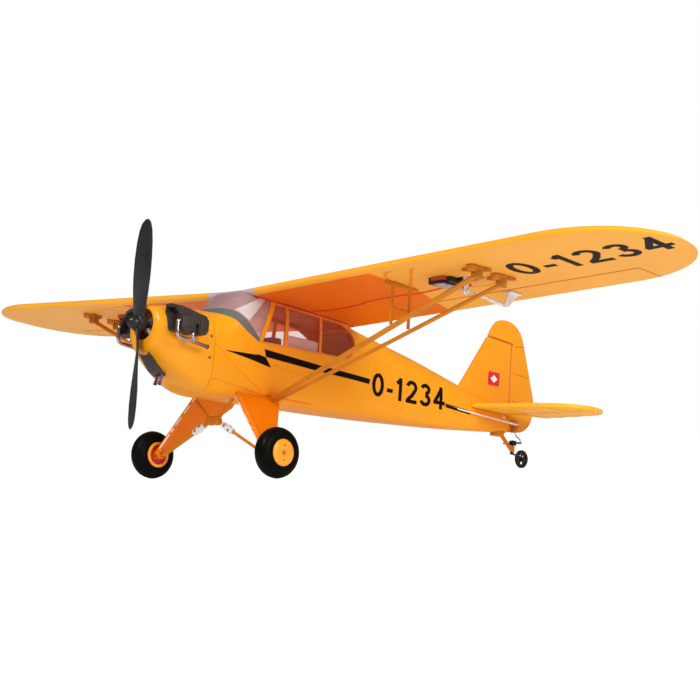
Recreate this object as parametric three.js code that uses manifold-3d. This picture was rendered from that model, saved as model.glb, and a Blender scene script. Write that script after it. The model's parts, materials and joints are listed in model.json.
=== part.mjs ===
// Radio-controlled foam high-wing monoplane, 650 mm span.
// Units are millimetres. The airframe is drawn in flight attitude: x to port, y aft from the wing's
// leading edge, z up from the thrust line. The finished group is turned nose-up so that it stands on
// its two main wheels and its tail wheel, with the ground at z = 0.
import * as THREE from 'three';
import { mergeVertices, mergeGeometries } from 'three/addons/utils/BufferGeometryUtils.js';
import Module from 'manifold-3d';

const wasm = await Module();
wasm.setup();

// ---------------------------------------------------------------- driving dimensions
const GAP = 0.3;                       // clearance between neighbouring pieces
const SIDES = [['left', 1], ['right', -1]];

const HALF_SPAN = 325;
const CHORD = 97;
const WING_THICK = 7.6;
const WING_Z = 27.9;                   // flat underside at the leading edge, on the centreline
const WING_SLOPE = 0.064;              // incidence, as a fall per millimetre aft
const DIHEDRAL = 0.0459;               // rise per millimetre outboard
const TIP_START = 258;                 // where the rounded wing tip begins
const LE_LEVEL = 2.4;                  // height of the leading edge above the flat underside
const LE_FLAT = 3.4;                   // where the flat underside begins
const AILERON_Y = 75;
const AILERON_IN = 116;
const AILERON_OUT = 274.6;
const AILERON_BEVEL = Math.tan(THREE.MathUtils.degToRad(26));

const COWL_FRONT = -68;
const COWL_REAR = -29;
const STERN_Y = 281;
const WALL = 4;                        // foam wall of the fuselage
const CABIN_WALL = 2.2;                // thinner wall round the windows
const SILL_Z = -0.9;

const SHAFT_Y = -71.4;                 // middle of the propeller
const PROP_RADIUS = 67;
const MOTOR_RADIUS = 9.4;
const EXHAUST_X = 31;

const WHEEL = { x: 64, y: -4.8, z: -75.6, r: 16.1, width: 12.6, hub: 8.6 };
const TAIL_WHEEL = { y: 302.6, z: -48.5, r: 7, width: 3.6 };
const CABANE_Z = -54;

const STAB_Z = -15;
const STAB_THICK = 3.2;
const STAB_REAR = 275.7;
const ELEVATOR_Y = 277.8;              // elevator hinge line
const NOSE_R = 1.6;                    // rounded nose of elevator and rudder, centred on the hinge
const ELEVATOR_THICK = 2.6;
const FIN_THICK = 3.4;
const RUDDER_THICK = 2.9;
const FIN_REAR = 282.4;
const RUDDER_Y = 284.6;                // rudder hinge line
const SWIVEL_Y = 291;                  // tail wheel steering axis

const STRUT_X = 194;
const STRUT_FRONT_Y = 27;
const STRUT_REAR_Y = 49;
const STRUT_LOW = [24.6, 24.6, -37.5];
const STRUT_DROP = 4.6;                // the struts end in bosses that hang this far below the wing
const JURY_X = 127;

const ARM = { x: 174, y: 42, drop: 9 };   // aileron servo arm: shaft place and arm length
const RUDDER_PIN = 10;                 // rudder arm length
const ELEVATOR_PIN = { x: -9.5, drop: 10 };
const STEER_PIN = 8;                   // steering arm length
const ROD_CLEARANCE = 1.3;             // round the pushrods, where they pass through the fuselage wall

// ---------------------------------------------------------------- solids
function solid(geometry) {
  const g = geometry.index ? geometry.toNonIndexed() : geometry.clone();
  for (const name of Object.keys(g.attributes)) if (name !== 'position') g.deleteAttribute(name);
  const merged = mergeVertices(g, 1e-4);
  const index = Array.from(merged.index.array);
  const clean = [];
  for (let i = 0; i < index.length; i += 3) {
    const [a, b, c] = index.slice(i, i + 3);
    if (a !== b && b !== c && c !== a) clean.push(a, b, c);
  }
  const vertProperties = new Float32Array(merged.attributes.position.array);
  if (signedVolume(vertProperties, clean) < 0) clean.reverse();
  return new wasm.Manifold(new wasm.Mesh({ numProp: 3, vertProperties, triVerts: new Uint32Array(clean) }));
}

function signedVolume(p, index) {
  let sum = 0;
  for (let i = 0; i < index.length; i += 3) {
    const [a, b, c] = [0, 1, 2].map((k) => new THREE.Vector3().fromArray(p, 3 * index[i + k]));
    sum += a.dot(b.cross(c));
  }
  return sum;
}

function geometryOf(manifold) {
  const mesh = manifold.getMesh();
  const geometry = new THREE.BufferGeometry();
  const positions = new Float32Array(mesh.numVert * 3);
  for (let i = 0; i < mesh.numVert; i++) {
    for (let k = 0; k < 3; k++) positions[3 * i + k] = mesh.vertProperties[mesh.numProp * i + k];
  }
  geometry.setAttribute('position', new THREE.BufferAttribute(positions, 3));
  geometry.setIndex(new THREE.BufferAttribute(new Uint32Array(mesh.triVerts), 1));
  geometry.computeVertexNormals();
  return geometry;
}

const join = (...parts) => parts.reduce((a, b) => a.add(b));
const cut = (body, ...tools) => tools.reduce((a, b) => a.subtract(b), body);

// A closed skin over rings of points; each ring holds the same number of points.
function loft(rings) {
  const n = rings[0].length;
  const points = rings.flat();
  const index = [];
  for (let i = 0; i + 1 < rings.length; i++) {
    for (let j = 0; j < n; j++) {
      const a = i * n + j;
      const b = i * n + ((j + 1) % n);
      index.push(a, b, b + n, a, b + n, a + n);
    }
  }
  for (const [ring, flip] of [[0, true], [rings.length - 1, false]]) {
    const centre = new THREE.Vector3();
    rings[ring].forEach((p) => centre.addScaledVector(p, 1 / n));
    points.push(centre);
    for (let j = 0; j < n; j++) {
      const a = ring * n + j;
      const b = ring * n + ((j + 1) % n);
      index.push(...(flip ? [points.length - 1, b, a] : [points.length - 1, a, b]));
    }
  }
  const geometry = new THREE.BufferGeometry().setFromPoints(points);
  geometry.setIndex(index);
  return solid(geometry);
}

function extrude(shape, depth, options = {}) {
  return new THREE.ExtrudeGeometry(shape, { depth, bevelEnabled: false, curveSegments: 6, ...options });
}

const shapeOf = (points) => new THREE.Shape(points.map(([a, b]) => new THREE.Vector2(a, b)));

// Prisms: the outline lies across the named axis.
const turnX = new THREE.Matrix4().makeBasis(
  new THREE.Vector3(0, 1, 0), new THREE.Vector3(0, 0, 1), new THREE.Vector3(1, 0, 0));
const turnY = new THREE.Matrix4().makeBasis(
  new THREE.Vector3(1, 0, 0), new THREE.Vector3(0, 0, 1), new THREE.Vector3(0, 1, 0));
function prismX(shape, x0, x1, options) {
  return solid(extrude(shape, x1 - x0, options).translate(0, 0, x0).applyMatrix4(turnX));
}
function prismY(shape, y0, y1, options) {
  return solid(extrude(shape, y1 - y0, options).translate(0, 0, y0).applyMatrix4(turnY));
}
function prismZ(shape, z0, z1, options) {
  return solid(extrude(shape, z1 - z0, options).translate(0, 0, z0));
}

function box(x0, x1, y0, y1, z0, z1) {
  const g = new THREE.BoxGeometry(x1 - x0, y1 - y0, z1 - z0);
  return solid(g.translate((x0 + x1) / 2, (y0 + y1) / 2, (z0 + z1) / 2));
}

function roundBox(x0, x1, y0, y1, z0, z1, r) {
  const s = new THREE.Shape();
  s.moveTo(x0 + r, y0).lineTo(x1 - r, y0).lineTo(x1, y0 + r).lineTo(x1, y1 - r);
  s.lineTo(x1 - r, y1).lineTo(x0 + r, y1).lineTo(x0, y1 - r).lineTo(x0, y0 + r);
  return prismZ(s, z0, z1);
}

// Frame whose z runs from p0 to p1 and whose x leans towards "lean".
function along(p0, p1, lean) {
  const z = new THREE.Vector3().subVectors(p1, p0).normalize();
  const y = new THREE.Vector3().crossVectors(z, lean).normalize();
  const x = new THREE.Vector3().crossVectors(y, z);
  return new THREE.Matrix4().makeBasis(x, y, z).setPosition(p0);
}

const V = (x, y, z) => new THREE.Vector3(x, y, z);

// Straight bar with an oval section: "chord" wide towards lean, "thick" across.
function ovalBar(p0, p1, chord, thick, lean = V(0, 1, 0), segments = 12) {
  const s = new THREE.Shape().absellipse(0, 0, chord / 2, thick / 2, 0, 2 * Math.PI, false, 0);
  const g = extrude(s, p0.distanceTo(p1), { curveSegments: segments });
  return solid(g.applyMatrix4(along(p0, p1, lean)));
}

const leanOf = (p0, p1) => (Math.abs(p1.y - p0.y) > 0.9 * p0.distanceTo(p1) ? V(1, 0, 0) : V(0, 1, 0));

function rod(p0, p1, r, segments = 8) {
  const g = new THREE.CylinderGeometry(r, r, p0.distanceTo(p1), segments);
  g.rotateX(Math.PI / 2).translate(0, 0, p0.distanceTo(p1) / 2);
  return solid(g.applyMatrix4(along(p0, p1, leanOf(p0, p1))));
}

// Round wire or pipe along a smooth path.
function wire(points, r, steps = 12, sides = 6) {
  const path = new THREE.CatmullRomCurve3(points, false, 'catmullrom', 0.3);
  const ring = [];
  for (let i = 0; i < sides; i++) {
    const a = (2 * Math.PI * i) / sides;
    ring.push([r * Math.cos(a), r * Math.sin(a)]);
  }
  return solid(new THREE.ExtrudeGeometry(shapeOf(ring), { steps, bevelEnabled: false, extrudePath: path }));
}

// Turned piece: profile of [radius, distance along the axis] pairs, axis from "at" along "dir".
function turned(profile, at, dir, segments = 24) {
  const g = new THREE.LatheGeometry(profile.map(([a, b]) => new THREE.Vector2(a, b)), segments);
  g.rotateX(Math.PI / 2);
  return solid(g.applyMatrix4(along(at, at.clone().add(dir), leanOf(V(0, 0, 0), dir))));
}

// ---------------------------------------------------------------- airframe lines
// Fuselage stations: y, half width, top, bottom, level of the widest line, and the squareness of
// the section above and below that line.
const HULL = [
  [-68, 12.6, 10.4, -15.4, -2, 2.1, 2.1],
  [-66.5, 15.4, 11.9, -18, -3, 2.1, 2.1],
  [-63, 17.8, 12.6, -20.5, -4, 2.2, 2.2],
  [-57, 20.8, 13.6, -26, -5.5, 2.3, 2.4],
  [-48, 22.8, 14.2, -32, -7, 2.3, 2.8],
  [-38, 24, 14.6, -37, -9, 2.4, 3.4],
  [-29, 24.4, 14.9, -39.4, -10, 2.5, 4],
  [-21, 24.6, 15.2, -40.1, -11, 2.6, 4.4],
  [-4, 24.9, 29.5, -39.9, -12, 3.8, 4.6],
  [4, 25, 34.5, -39.8, -12, 4.6, 4.6],
  [45, 25, 34, -39.5, -12, 4.8, 4.6],
  [84, 24.6, 31.5, -39.2, -12, 4.6, 4.6],
  [97, 24, 24.2, -39, -12, 3.4, 4.6],
  [104, 23.4, 23, -38.9, -12, 3, 4.6],
  [130, 20.2, 18.8, -38.4, -12.5, 2.5, 4.4],
  [172, 15.2, 11, -37, -13.5, 2.3, 4],
  [200, 12, 4.7, -35.9, -16, 2.2, 3.6],
  [236, 8.4, -3.8, -33.6, -19, 2.2, 3.2],
  [265, 5.4, -10.6, -31.5, -21, 2.2, 3],
  [281, 4, -14.4, -30.4, -22, 2.2, 3],
];

function hullAt(y) {
  let i = 1;
  while (i < HULL.length - 1 && HULL[i][0] < y) i++;
  const t = (y - HULL[i - 1][0]) / (HULL[i][0] - HULL[i - 1][0]);
  return HULL[i].map((value, k) => HULL[i - 1][k] + t * (value - HULL[i - 1][k]));
}

const HULL_SIDES = 24;
function hullRing(y, inset) {
  const [, half, top, bottom, level, squareTop, squareBottom] = hullAt(y);
  const ring = [];
  for (let i = 0; i < HULL_SIDES; i++) {
    const a = (2 * Math.PI * i) / HULL_SIDES;
    const c = Math.cos(a);
    const s = Math.sin(a);
    const power = 2 / (s >= 0 ? squareTop : squareBottom);
    const height = (s >= 0 ? top - level : level - bottom) - inset;
    const x = (half - inset) * Math.sign(c) * Math.abs(c) ** power;
    ring.push(V(x, y, level + height * Math.sign(s) * Math.abs(s) ** power));
  }
  return ring;
}

function hullBetween(y0, y1, inset) {
  const stops = [y0, ...HULL.map((s) => s[0]).filter((y) => y > y0 + 0.8 && y < y1 - 0.8), y1];
  return loft(stops.map((y) => hullRing(y, inset)));
}

// Wing planform: straight edges, then a quarter of an ellipse at each corner of the tip.
function planform(x) {
  const out = Math.max(0, Math.abs(x) - TIP_START) / (HALF_SPAN - TIP_START);
  const half = (CHORD / 2) * Math.sqrt(Math.max(0, 1 - out * out));
  return [CHORD / 2 - half, CHORD / 2 + half];
}
const wingBottom = (x, y) => WING_Z - WING_SLOPE * y + DIHEDRAL * Math.abs(x);

const naca = (s) => 10 * (0.2969 * Math.sqrt(s) - 0.126 * s - 0.3516 * s ** 2 + 0.2843 * s ** 3
  - 0.1015 * s ** 4);
const upperSkin = (s) => LE_LEVEL + (WING_THICK - 1.9) * naca(s) - 1.4 * s;
function lowerSkin(s) {
  const t = 1 - Math.min(1, (s * CHORD) / LE_FLAT);
  return LE_LEVEL * (1 - Math.sqrt(1 - t * t));
}
const UPPER_STOPS = [0, 0.008, 0.03, 0.07, 0.13, 0.21, 0.31, 0.43, 0.56, 0.7, 0.85, 1];
const LOWER_STOPS = [1, 0.75, 0.5, 0.28, 0.12, 0.035, 0.018, 0.006];

// grow: outward offset; lift: how far the upper skin is raised, to make a cutting tool.
function wingRing(x, grow = 0, lift = 0) {
  const [y0, y1] = planform(x);
  const scale = (y1 - y0) / CHORD;
  const base = wingBottom(x, (y0 + y1) / 2) + (CHORD / 2) * WING_SLOPE * scale + 1.6 * (1 - scale);
  const place = (s, z, g) => {
    const y = y0 + s * (y1 - y0) + (s - 0.5) * 2 * Math.abs(g);
    return V(x, y, base - WING_SLOPE * s * (y1 - y0) + z * scale + g);
  };
  return [
    ...UPPER_STOPS.map((s) => place(s, upperSkin(s), grow).add(V(0, 0, lift))),
    ...LOWER_STOPS.map((s) => place(s, lowerSkin(s), -grow)),
  ];
}

const TIP_STOPS = [0, 20, 38, 52, 64, 74, 82, 87].map((a) => THREE.MathUtils.degToRad(a));
function wingStations() {
  const tips = TIP_STOPS.map((a) => TIP_START + (HALF_SPAN - TIP_START) * Math.sin(a));
  const half = [90, 180, ...tips];
  return [...half.slice().reverse().map((x) => -x), 0, ...half];
}

// ---------------------------------------------------------------- fuselage and cabin
const railZ = (y) => wingBottom(24, y) - 2.6;

function windowShapes() {
  const front = shapeOf([[10.2, SILL_Z], [28.6, SILL_Z], [28.9, railZ(28.9)], [20.4, railZ(20.4)]]);
  const middle = shapeOf([[31.6, SILL_Z], [59.6, SILL_Z], [59.9, railZ(59.9)], [31.9, railZ(31.9)]]);
  const rear = new THREE.Shape();
  rear.moveTo(62, SILL_Z).lineTo(86, SILL_Z - 0.2).quadraticCurveTo(94.2, 2, 94, 10);
  rear.quadraticCurveTo(93.2, 17.6, 79, railZ(79)).lineTo(62, railZ(62));
  return [front, middle, rear];
}

// Side outline of the windscreen opening, from the foot of the front post to the top of the cowl.
const SCREEN = [[6.8, -0.9], [-3, 4.3], [-12, 11.2], [-20.6, 15.8], [-20.6, 42], [17.4, 42], [17.4, 27.4]];

function windscreenCutter(shrink) {
  const outline = SCREEN.map(([y, z]) => [y, z]);
  if (shrink > 0) {
    const middle = [3, 18];
    outline.forEach((p) => {
      const length = Math.hypot(p[0] - middle[0], p[1] - middle[1]);
      p[0] += ((middle[0] - p[0]) / length) * shrink;
      p[1] += ((middle[1] - p[1]) / length) * shrink;
    });
  }
  return prismX(shapeOf(outline), -30, 30);
}

function saddle(grow) {
  return loft([-60, 0, 60].map((x) => wingRing(x, grow, 30)));
}

const rudderRod = (y) => -14 + (y - 120) * (-10 / (RUDDER_Y - 120));
const elevatorRod = (y) => -22 + (y - 132) * (-3 / (ELEVATOR_Y - 132));

function rodChannels() {
  const [y0, y1] = [160, 300];
  const channel = (x0, x1, rodZ, up) => prismX(shapeOf([
    [y0, rodZ(y0) - ROD_CLEARANCE], [y1, rodZ(y1) - ROD_CLEARANCE], [y1, rodZ(y1) + up], [y0, rodZ(y0) + up]]),
    x0, x1);
  return [
    channel(7.6, 12, rudderRod, ROD_CLEARANCE),
    channel(-11, -7.9, elevatorRod, ROD_CLEARANCE + 1.1),
  ];
}

const HATCH = { x: 13, y0: 0.5, y1: 50, thick: 2.4, slots: 5, slotX: 8.5, slotY: 5, slotPitch: 5 };
const SLOT_WIDTH = 1.4;
const PAD = { x: 9, y0: 58, y1: 86, z: -39 };        // flat on the belly for a display stand

function finOutline(grow) {
  return shapeOf([
    [222 - grow, -4.6], [226, -1.4 + grow], [255.4 - grow, 40.2 + grow], [FIN_REAR + grow, 38.2 + grow],
    [FIN_REAR + grow, -10.6 - grow], [272, -10.6 - grow], [272, -12.9 - grow], [236 - grow, -12.9 - grow]]);
}

function fuselage() {
  const cavityTop = hullBetween(COWL_REAR + 3, 212, WALL);
  const cabin = hullBetween(-20, 96, CABIN_WALL).intersect(box(-30, 30, 3, 96, SILL_Z - 1, 45));
  let body = cut(hullBetween(COWL_REAR + GAP / 2, STERN_Y, 0), cavityTop, cabin, saddle(GAP));
  body = cut(body, windscreenCutter(0), ...windowShapes().map((s) => prismX(s, -30, 30)));
  body = cut(body, ...rodChannels());
  body = cut(body, box(-HATCH.x - GAP, HATCH.x + GAP, HATCH.y0 - GAP, HATCH.y1 + GAP, -50, -30));
  body = cut(body, box(-PAD.x, PAD.x, PAD.y0, PAD.y1, -50, PAD.z));
  body = cut(body, prismX(finOutline(GAP), -FIN_THICK / 2 - GAP, FIN_THICK / 2 + GAP));
  const half = STAB_THICK / 2 + GAP;
  body = cut(body, box(-40, 40, 232.4, 300, STAB_Z - half, STAB_Z + half));
  body = cut(body, box(-40, 40, 273, 300, -20, 0));
  return body;
}

function hatch() {
  const outside = hullBetween(HATCH.y0 - 20, HATCH.y1 + 20, 0);
  const shell = cut(outside, hullBetween(HATCH.y0 - 21, HATCH.y1 + 21, HATCH.thick));
  let plate = shell.intersect(box(-HATCH.x, HATCH.x, HATCH.y0, HATCH.y1, -50, -30));
  for (let i = 0; i < HATCH.slots; i++) {
    const y = HATCH.slotY + HATCH.slotPitch * i;
    plate = cut(plate, box(-HATCH.slotX, HATCH.slotX, y, y + SLOT_WIDTH, -50, -20));
  }
  return plate;
}

function glazing() {
  const skin = (y0, y1, a, b) => cut(hullBetween(y0, y1, a), hullBetween(y0 - 1, y1 + 1, b));
  const screen = skin(-20.9, 20, 0, 0.9).intersect(windscreenCutter(0.6));
  const sides = skin(5, 95, CABIN_WALL + GAP, CABIN_WALL + GAP + 0.8);
  const zone = shapeOf([[5.6, SILL_Z - 0.6], [94.4, SILL_Z - 0.6], [94.4, 30], [15.8, 30]]);
  const web = shapeOf([[5.6, SILL_Z + 0.6], [6.8, SILL_Z + 0.6], [16.9, 30], [15.6, 30]]);
  const step = skin(0, 22, 0.1, CABIN_WALL + GAP + 0.8).intersect(prismX(web, -30, 30));
  const shell = join(screen, sides.intersect(prismX(zone, -30, 30)), step);
  return cut(shell, saddle(2 * GAP), box(-30, 30, -40, 120, -40, SILL_Z - 0.5));
}

function cowl() {
  let body = cut(hullBetween(COWL_FRONT, COWL_REAR - GAP / 2, 0), hullBetween(COWL_FRONT + 2.4, -20, 2));
  body = cut(body, rod(V(0, -80, 0), V(0, -60, 0), MOTOR_RADIUS + 0.8, 28));
  return body;
}

// ---------------------------------------------------------------- engine details and power
function cylinders() {
  const section = shapeOf([
    [16, 12.6], [22, 12.4], [27, 11], [33, 4.6], [33.4, -3.4], [31, -5.2], [20, -5.6], [14, 2]]);
  let block = prismY(section, -62.8, -41.5);
  block = cut(block, prismX(shapeOf([[-64, 13.4], [-40, 5.8], [-40, 16], [-64, 16]]), 10, 40));
  for (let i = 0; i < 4; i++) {
    block = cut(block, box(29.4, 40, -58.6 + 4.4 * i, -57.2 + 4.4 * i, -12, 3));
  }
  block = cut(block, box(22, 30.5, -66, -58.5, -3.6, 6.4));
  block = cut(block, hullBetween(COWL_FRONT, -25, -GAP));
  return block.intersect(box(10, 40, -70, -30, -20, 20));
}

function exhaust() {
  const route = [[-63.4, 1], [-64.2, 0.6], [-64.4, -0.6], [-64.4, -5], [-63.8, -8.2], [-61, -9.4], [-52, -10.7],
    [-39.3, -12.3]];
  const main = wire(route.map(([y, z]) => V(EXHAUST_X, y, z)), 1.15, 16);
  const branch = [V(EXHAUST_X + 1, -53, -6.4), V(EXHAUST_X + 0.9, -52.4, -8.2), V(EXHAUST_X, -50.6, -10.8)];
  return join(main, wire(branch, 1.1, 4));
}

function chinIntake() {
  const side = shapeOf([
    [-65.6, -14], [-66.6, -17.4], [-61.4, -23.6], [-57, -28.8], [-52, -31.4], [-50, -28], [-58, -15]]);
  const stacks = [0, 4.4].map((x) => rod(V(x, -53.4, -29.4), V(x, -55.2, -37), 1));
  return cut(join(prismX(side, -5.6, 5.6), ...stacks), hullBetween(COWL_FRONT, -25, -GAP));
}

function motorMount() {
  const plate = roundBox(-12, 12, -12, 11, 0, 3, 3);
  const boss = join(rod(V(0, 0, 2), V(0, 0, 15), 6.5, 16), plate);
  const g = geometryOf(boss).rotateX(Math.PI / 2).translate(0, COWL_REAR - GAP, 0);
  return solid(g);
}

const motorStator = () => join(
  rod(V(0, -45, 0), V(0, -47.6, 0), 9, 20), rod(V(0, -47, 0), V(0, -60, 0), 4, 16),
  ...[0, 1, 2, 3, 4, 5].map((i) => {
    const a = (i * Math.PI) / 3;
    return rod(V(0, -54, 0), V(7 * Math.cos(a), -54, 7 * Math.sin(a)), 1.8, 8);
  }));

const motorBell = () => join(
  turned([[0, 0], [0, 2], [4, 2.4], [MOTOR_RADIUS - 1, 4.5], [MOTOR_RADIUS, 5.5], [MOTOR_RADIUS, 18],
    [MOTOR_RADIUS - 1.2, 18], [MOTOR_RADIUS - 1.2, 6.5], [0, 5]], V(0, -66, 0), V(0, 1, 0)),
  rod(V(0, -62, 0), V(0, SHAFT_Y + 3.4, 0), 2.4, 12));

function propeller() {
  const rings = [];
  const upper = [[5, 7, 125], [12, 8, 140], [26, 11, 154], [42, 13, 163], [56, 11.5, 167], [64, 8, 169],
    [PROP_RADIUS, 3, 170]];
  const lower = upper.map(([z, chord, pitch]) => [-z, chord, 180 - pitch]).reverse();
  for (const [z, chord, pitch] of [...lower, ...upper]) {
    const a = THREE.MathUtils.degToRad(pitch);
    const thick = 0.1 * chord + 0.5 + 1.6 * Math.exp(-Math.abs(z) / 8);
    const ring = [];
    for (let i = 0; i < 10; i++) {
      const b = (2 * Math.PI * i) / 10;
      const u = (chord / 2) * Math.cos(b);
      const v = (thick / 2) * Math.sin(b);
      ring.push(V(u * Math.cos(a) - v * Math.sin(a), SHAFT_Y + u * Math.sin(a) + v * Math.cos(a), z));
    }
    rings.push(ring);
  }
  const boss = rod(V(0, SHAFT_Y + 3, 0), V(0, SHAFT_Y - 3, 0), 5.4, 20);
  const bore = rod(V(0, SHAFT_Y + 9, 0), V(0, SHAFT_Y - 9, 0), 1.5, 12);
  return cut(join(loft(rings), boss), bore);
}

const NUT_PROFILE = [[0, 0], [4.6, 0], [4.4, 1.4], [3.2, 3.6], [1.5, 5], [0, 5.4]];
const spinner = () => join(
  turned(NUT_PROFILE, V(0, SHAFT_Y - 3.3, 0), V(0, -1, 0), 20),
  rod(V(0, SHAFT_Y - 3.6, 0), V(0, SHAFT_Y + 2.6, 0), 1.2, 12));

// ---------------------------------------------------------------- undercarriage
const WIRE_R = 1;

function gearLeg() {
  const top = V(20.5, 0, -36.5);
  const low = V(56, 0, -75.2);
  const length = top.distanceTo(low);
  const outline = shapeOf([[-4.5, 0], [28.5, 0], [28.5, 5.5], [0.5, length], [-8.5, length]]);
  const down = new THREE.Vector3().subVectors(low, top).normalize();
  const across = new THREE.Vector3().crossVectors(V(0, 1, 0), down);
  const frame = new THREE.Matrix4().makeBasis(V(0, 1, 0), down, across).setPosition(top);
  const plate = solid(extrude(outline, 2).translate(0, 0, -1).applyMatrix4(frame));
  const front = rod(V(20.5, -4.2, -36.5), V(56, -7, -75.2), 1.9, 10);
  const foot = rod(V(53.2, WHEEL.y, WHEEL.z), V(57, WHEEL.y, WHEEL.z), 3, 14);
  const bore = rod(V(50, WHEEL.y, WHEEL.z), V(60, WHEEL.y, WHEEL.z), WIRE_R + GAP, 12);
  return cut(join(plate, front, foot), hullBetween(-40, 60, -GAP), bore);
}

const CABANE = V(0, -5.2, CABANE_Z);

function gearWire() {
  const halves = SIDES.flatMap(([, s]) => {
    const eye = V(3 * s, CABANE.y, CABANE_Z);
    const bend = V(48 * s, WHEEL.y, WHEEL.z + 1.2);
    const axle = (x, lift = 0) => V(x * s, WHEEL.y, WHEEL.z + lift);
    return [
      rod(eye, V(18.6 * s, -6.4, -40.9), WIRE_R + 0.1),
      rod(eye, bend, WIRE_R),
      wire([bend, axle(49.5, 0.5), axle(51.5), axle(60)], WIRE_R, 6, 8),
      rod(axle(59), axle(71.6), WIRE_R),
      rod(V(3 * s, CABANE.y - 2.2, CABANE_Z), V(3 * s, CABANE.y + 2.2, CABANE_Z), 3.1, 16),
    ];
  });
  return join(...halves);
}

// Elastic shock cord round the lower rod.
function shockCord() {
  const a = V(3, CABANE.y, CABANE_Z);
  const b = V(48, WHEEL.y, WHEEL.z + 1.2);
  const start = new THREE.Vector3().lerpVectors(a, b, 0.14);
  const dir = new THREE.Vector3().subVectors(b, a).normalize();
  return turned([[1.6, 0], [2.1, 0.8], [2.1, 5.2], [2.6, 5.6], [2.6, 7], [2.1, 7.4], [2.1, 11.2], [1.6, 12],
    [1.4, 12], [1.4, 0], [1.6, 0]], start, dir, 12);
}

function tyre(x) {
  const h = WHEEL.width / 2;
  const profile = [];
  const steps = 10;
  for (let i = 0; i <= steps; i++) {
    const a = -Math.PI / 2 + (Math.PI * i) / steps;
    const bulge = Math.max(0, Math.cos(a)) ** 0.62;
    profile.push([WHEEL.hub + (WHEEL.r - WHEEL.hub) * bulge, h * Math.sin(a)]);
  }
  profile[0] = [WHEEL.hub, -h];
  profile[steps] = [WHEEL.hub, h];
  profile.push([WHEEL.hub, -h]);
  return turned(profile, V(x, WHEEL.y, WHEEL.z), V(1, 0, 0), 24);
}

function hub(x, side) {
  const h = WHEEL.width / 2 + 0.9;
  const r = WHEEL.hub - 0.12;
  const bore = WIRE_R + 0.35;
  const profile = [[bore, -h + 3], [3, -h + 3], [3.4, -h + 2.2], [6.4, -h + 2.2], [6.9, -h], [r, -h],
    [r, h - 1], [r - 0.8, h], [bore, h], [bore, -h + 3]];
  const disc = turned(profile, V(x, WHEEL.y, WHEEL.z), V(side, 0, 0), 24);
  const holes = [-1, 1].map((k) => rod(
    V(x, WHEEL.y, WHEEL.z + 4.6 * k), V(x + 10 * side, WHEEL.y, WHEEL.z + 4.6 * k), 0.6, 8));
  return cut(disc, ...holes);
}

// ---------------------------------------------------------------- wing, ailerons and struts
function aileronZone(side, grow) {
  const lean = grow > 0 ? 0 : AILERON_BEVEL;
  const front = AILERON_Y + (grow > 0 ? -0.3 : 0.25);
  return loft([AILERON_IN - grow, AILERON_OUT + grow].map((x) => {
    const z = wingBottom(x, AILERON_Y);
    return [V(side * x, front, z - 6), V(side * x, front, z), V(side * x, front + 9 * lean, z + 9),
      V(side * x, 110, z + 9), V(side * x, 110, z - 6)];
  }));
}

const SERVO = { x0: 152, x1: 164.4, y0: 30, y1: 53, depth: 5.2, proud: 3 };
const servoLow = wingBottom(SERVO.x0, (SERVO.y0 + SERVO.y1) / 2);

function servoPocket() {
  const { x0, x1, y0, y1, depth } = SERVO;
  const main = box(x0 - GAP, x1 + GAP, y0 - GAP, y1 + GAP, servoLow - 6, servoLow + depth + GAP);
  const arm = box(x1, ARM.x + 2.6, ARM.y - 4.5, ARM.y + 4.5, servoLow - 6, servoLow + depth + GAP);
  return join(main, arm);
}

const BRACE_Y = 33;
const BRACE_HALF = 130;
function brace(grow) {
  const low = grow > 0 ? -3 : 0.3;
  const high = 3.4 + grow;
  const half = 1.5 + grow;
  return loft([-BRACE_HALF - grow, 0, BRACE_HALF + grow].map((x) => {
    const z = wingBottom(x, BRACE_Y);
    return [V(x, BRACE_Y - half, z + low), V(x, BRACE_Y + half, z + low), V(x, BRACE_Y + half, z + high),
      V(x, BRACE_Y - half, z + high)];
  }));
}

const wholeWing = () => loft(wingStations().map((x) => wingRing(x)));

function mirrored(manifold) {
  return solid(geometryOf(manifold).scale(-1, 1, 1));
}

function wing() {
  const pocket = servoPocket();
  return cut(wholeWing(), aileronZone(1, 0.5), aileronZone(-1, 0.5), pocket, mirrored(pocket), brace(GAP));
}

const aileron = () => wholeWing().intersect(aileronZone(1, 0));

const strutTop = (y) => V(STRUT_X, y, wingBottom(STRUT_X, y) - STRUT_DROP);
const strutFoot = (y) => V(STRUT_LOW[0], STRUT_LOW[1] + (y === STRUT_FRONT_Y ? -2.6 : 2.2), STRUT_LOW[2]);

// Everything above the flat underside of the port wing, less the clearance.
function aboveWing() {
  return loft([10, 300].map((x) => {
    const z = (y) => wingBottom(x, y) - GAP;
    return [V(x, -20, z(-20)), V(x, 110, z(110)), V(x, 110, 90), V(x, -20, 90)];
  }));
}

function strut(y, chord, thick) {
  const top = strutTop(y);
  const low = strutFoot(y);
  const high = new THREE.Vector3().lerpVectors(low, top, 0.995);
  const boss = rod(V(top.x, top.y, top.z + STRUT_DROP), V(top.x, top.y, top.z - 1.6), 2.9, 12);
  const under = top.z + STRUT_DROP;
  const plate = roundBox(top.x - 4.5, top.x + 4.5, top.y - 6, top.y + 6, under - 1.4, under + 3.4, 2.4);
  return cut(join(ovalBar(low, high, chord, thick), boss, plate), aboveWing(), hullBetween(-10, 70, -GAP));
}

function strutPoint(y, x) {
  const low = strutFoot(y);
  const top = strutTop(y);
  return new THREE.Vector3().lerpVectors(low, top, (x - low.x) / (top.x - low.x));
}

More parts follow.
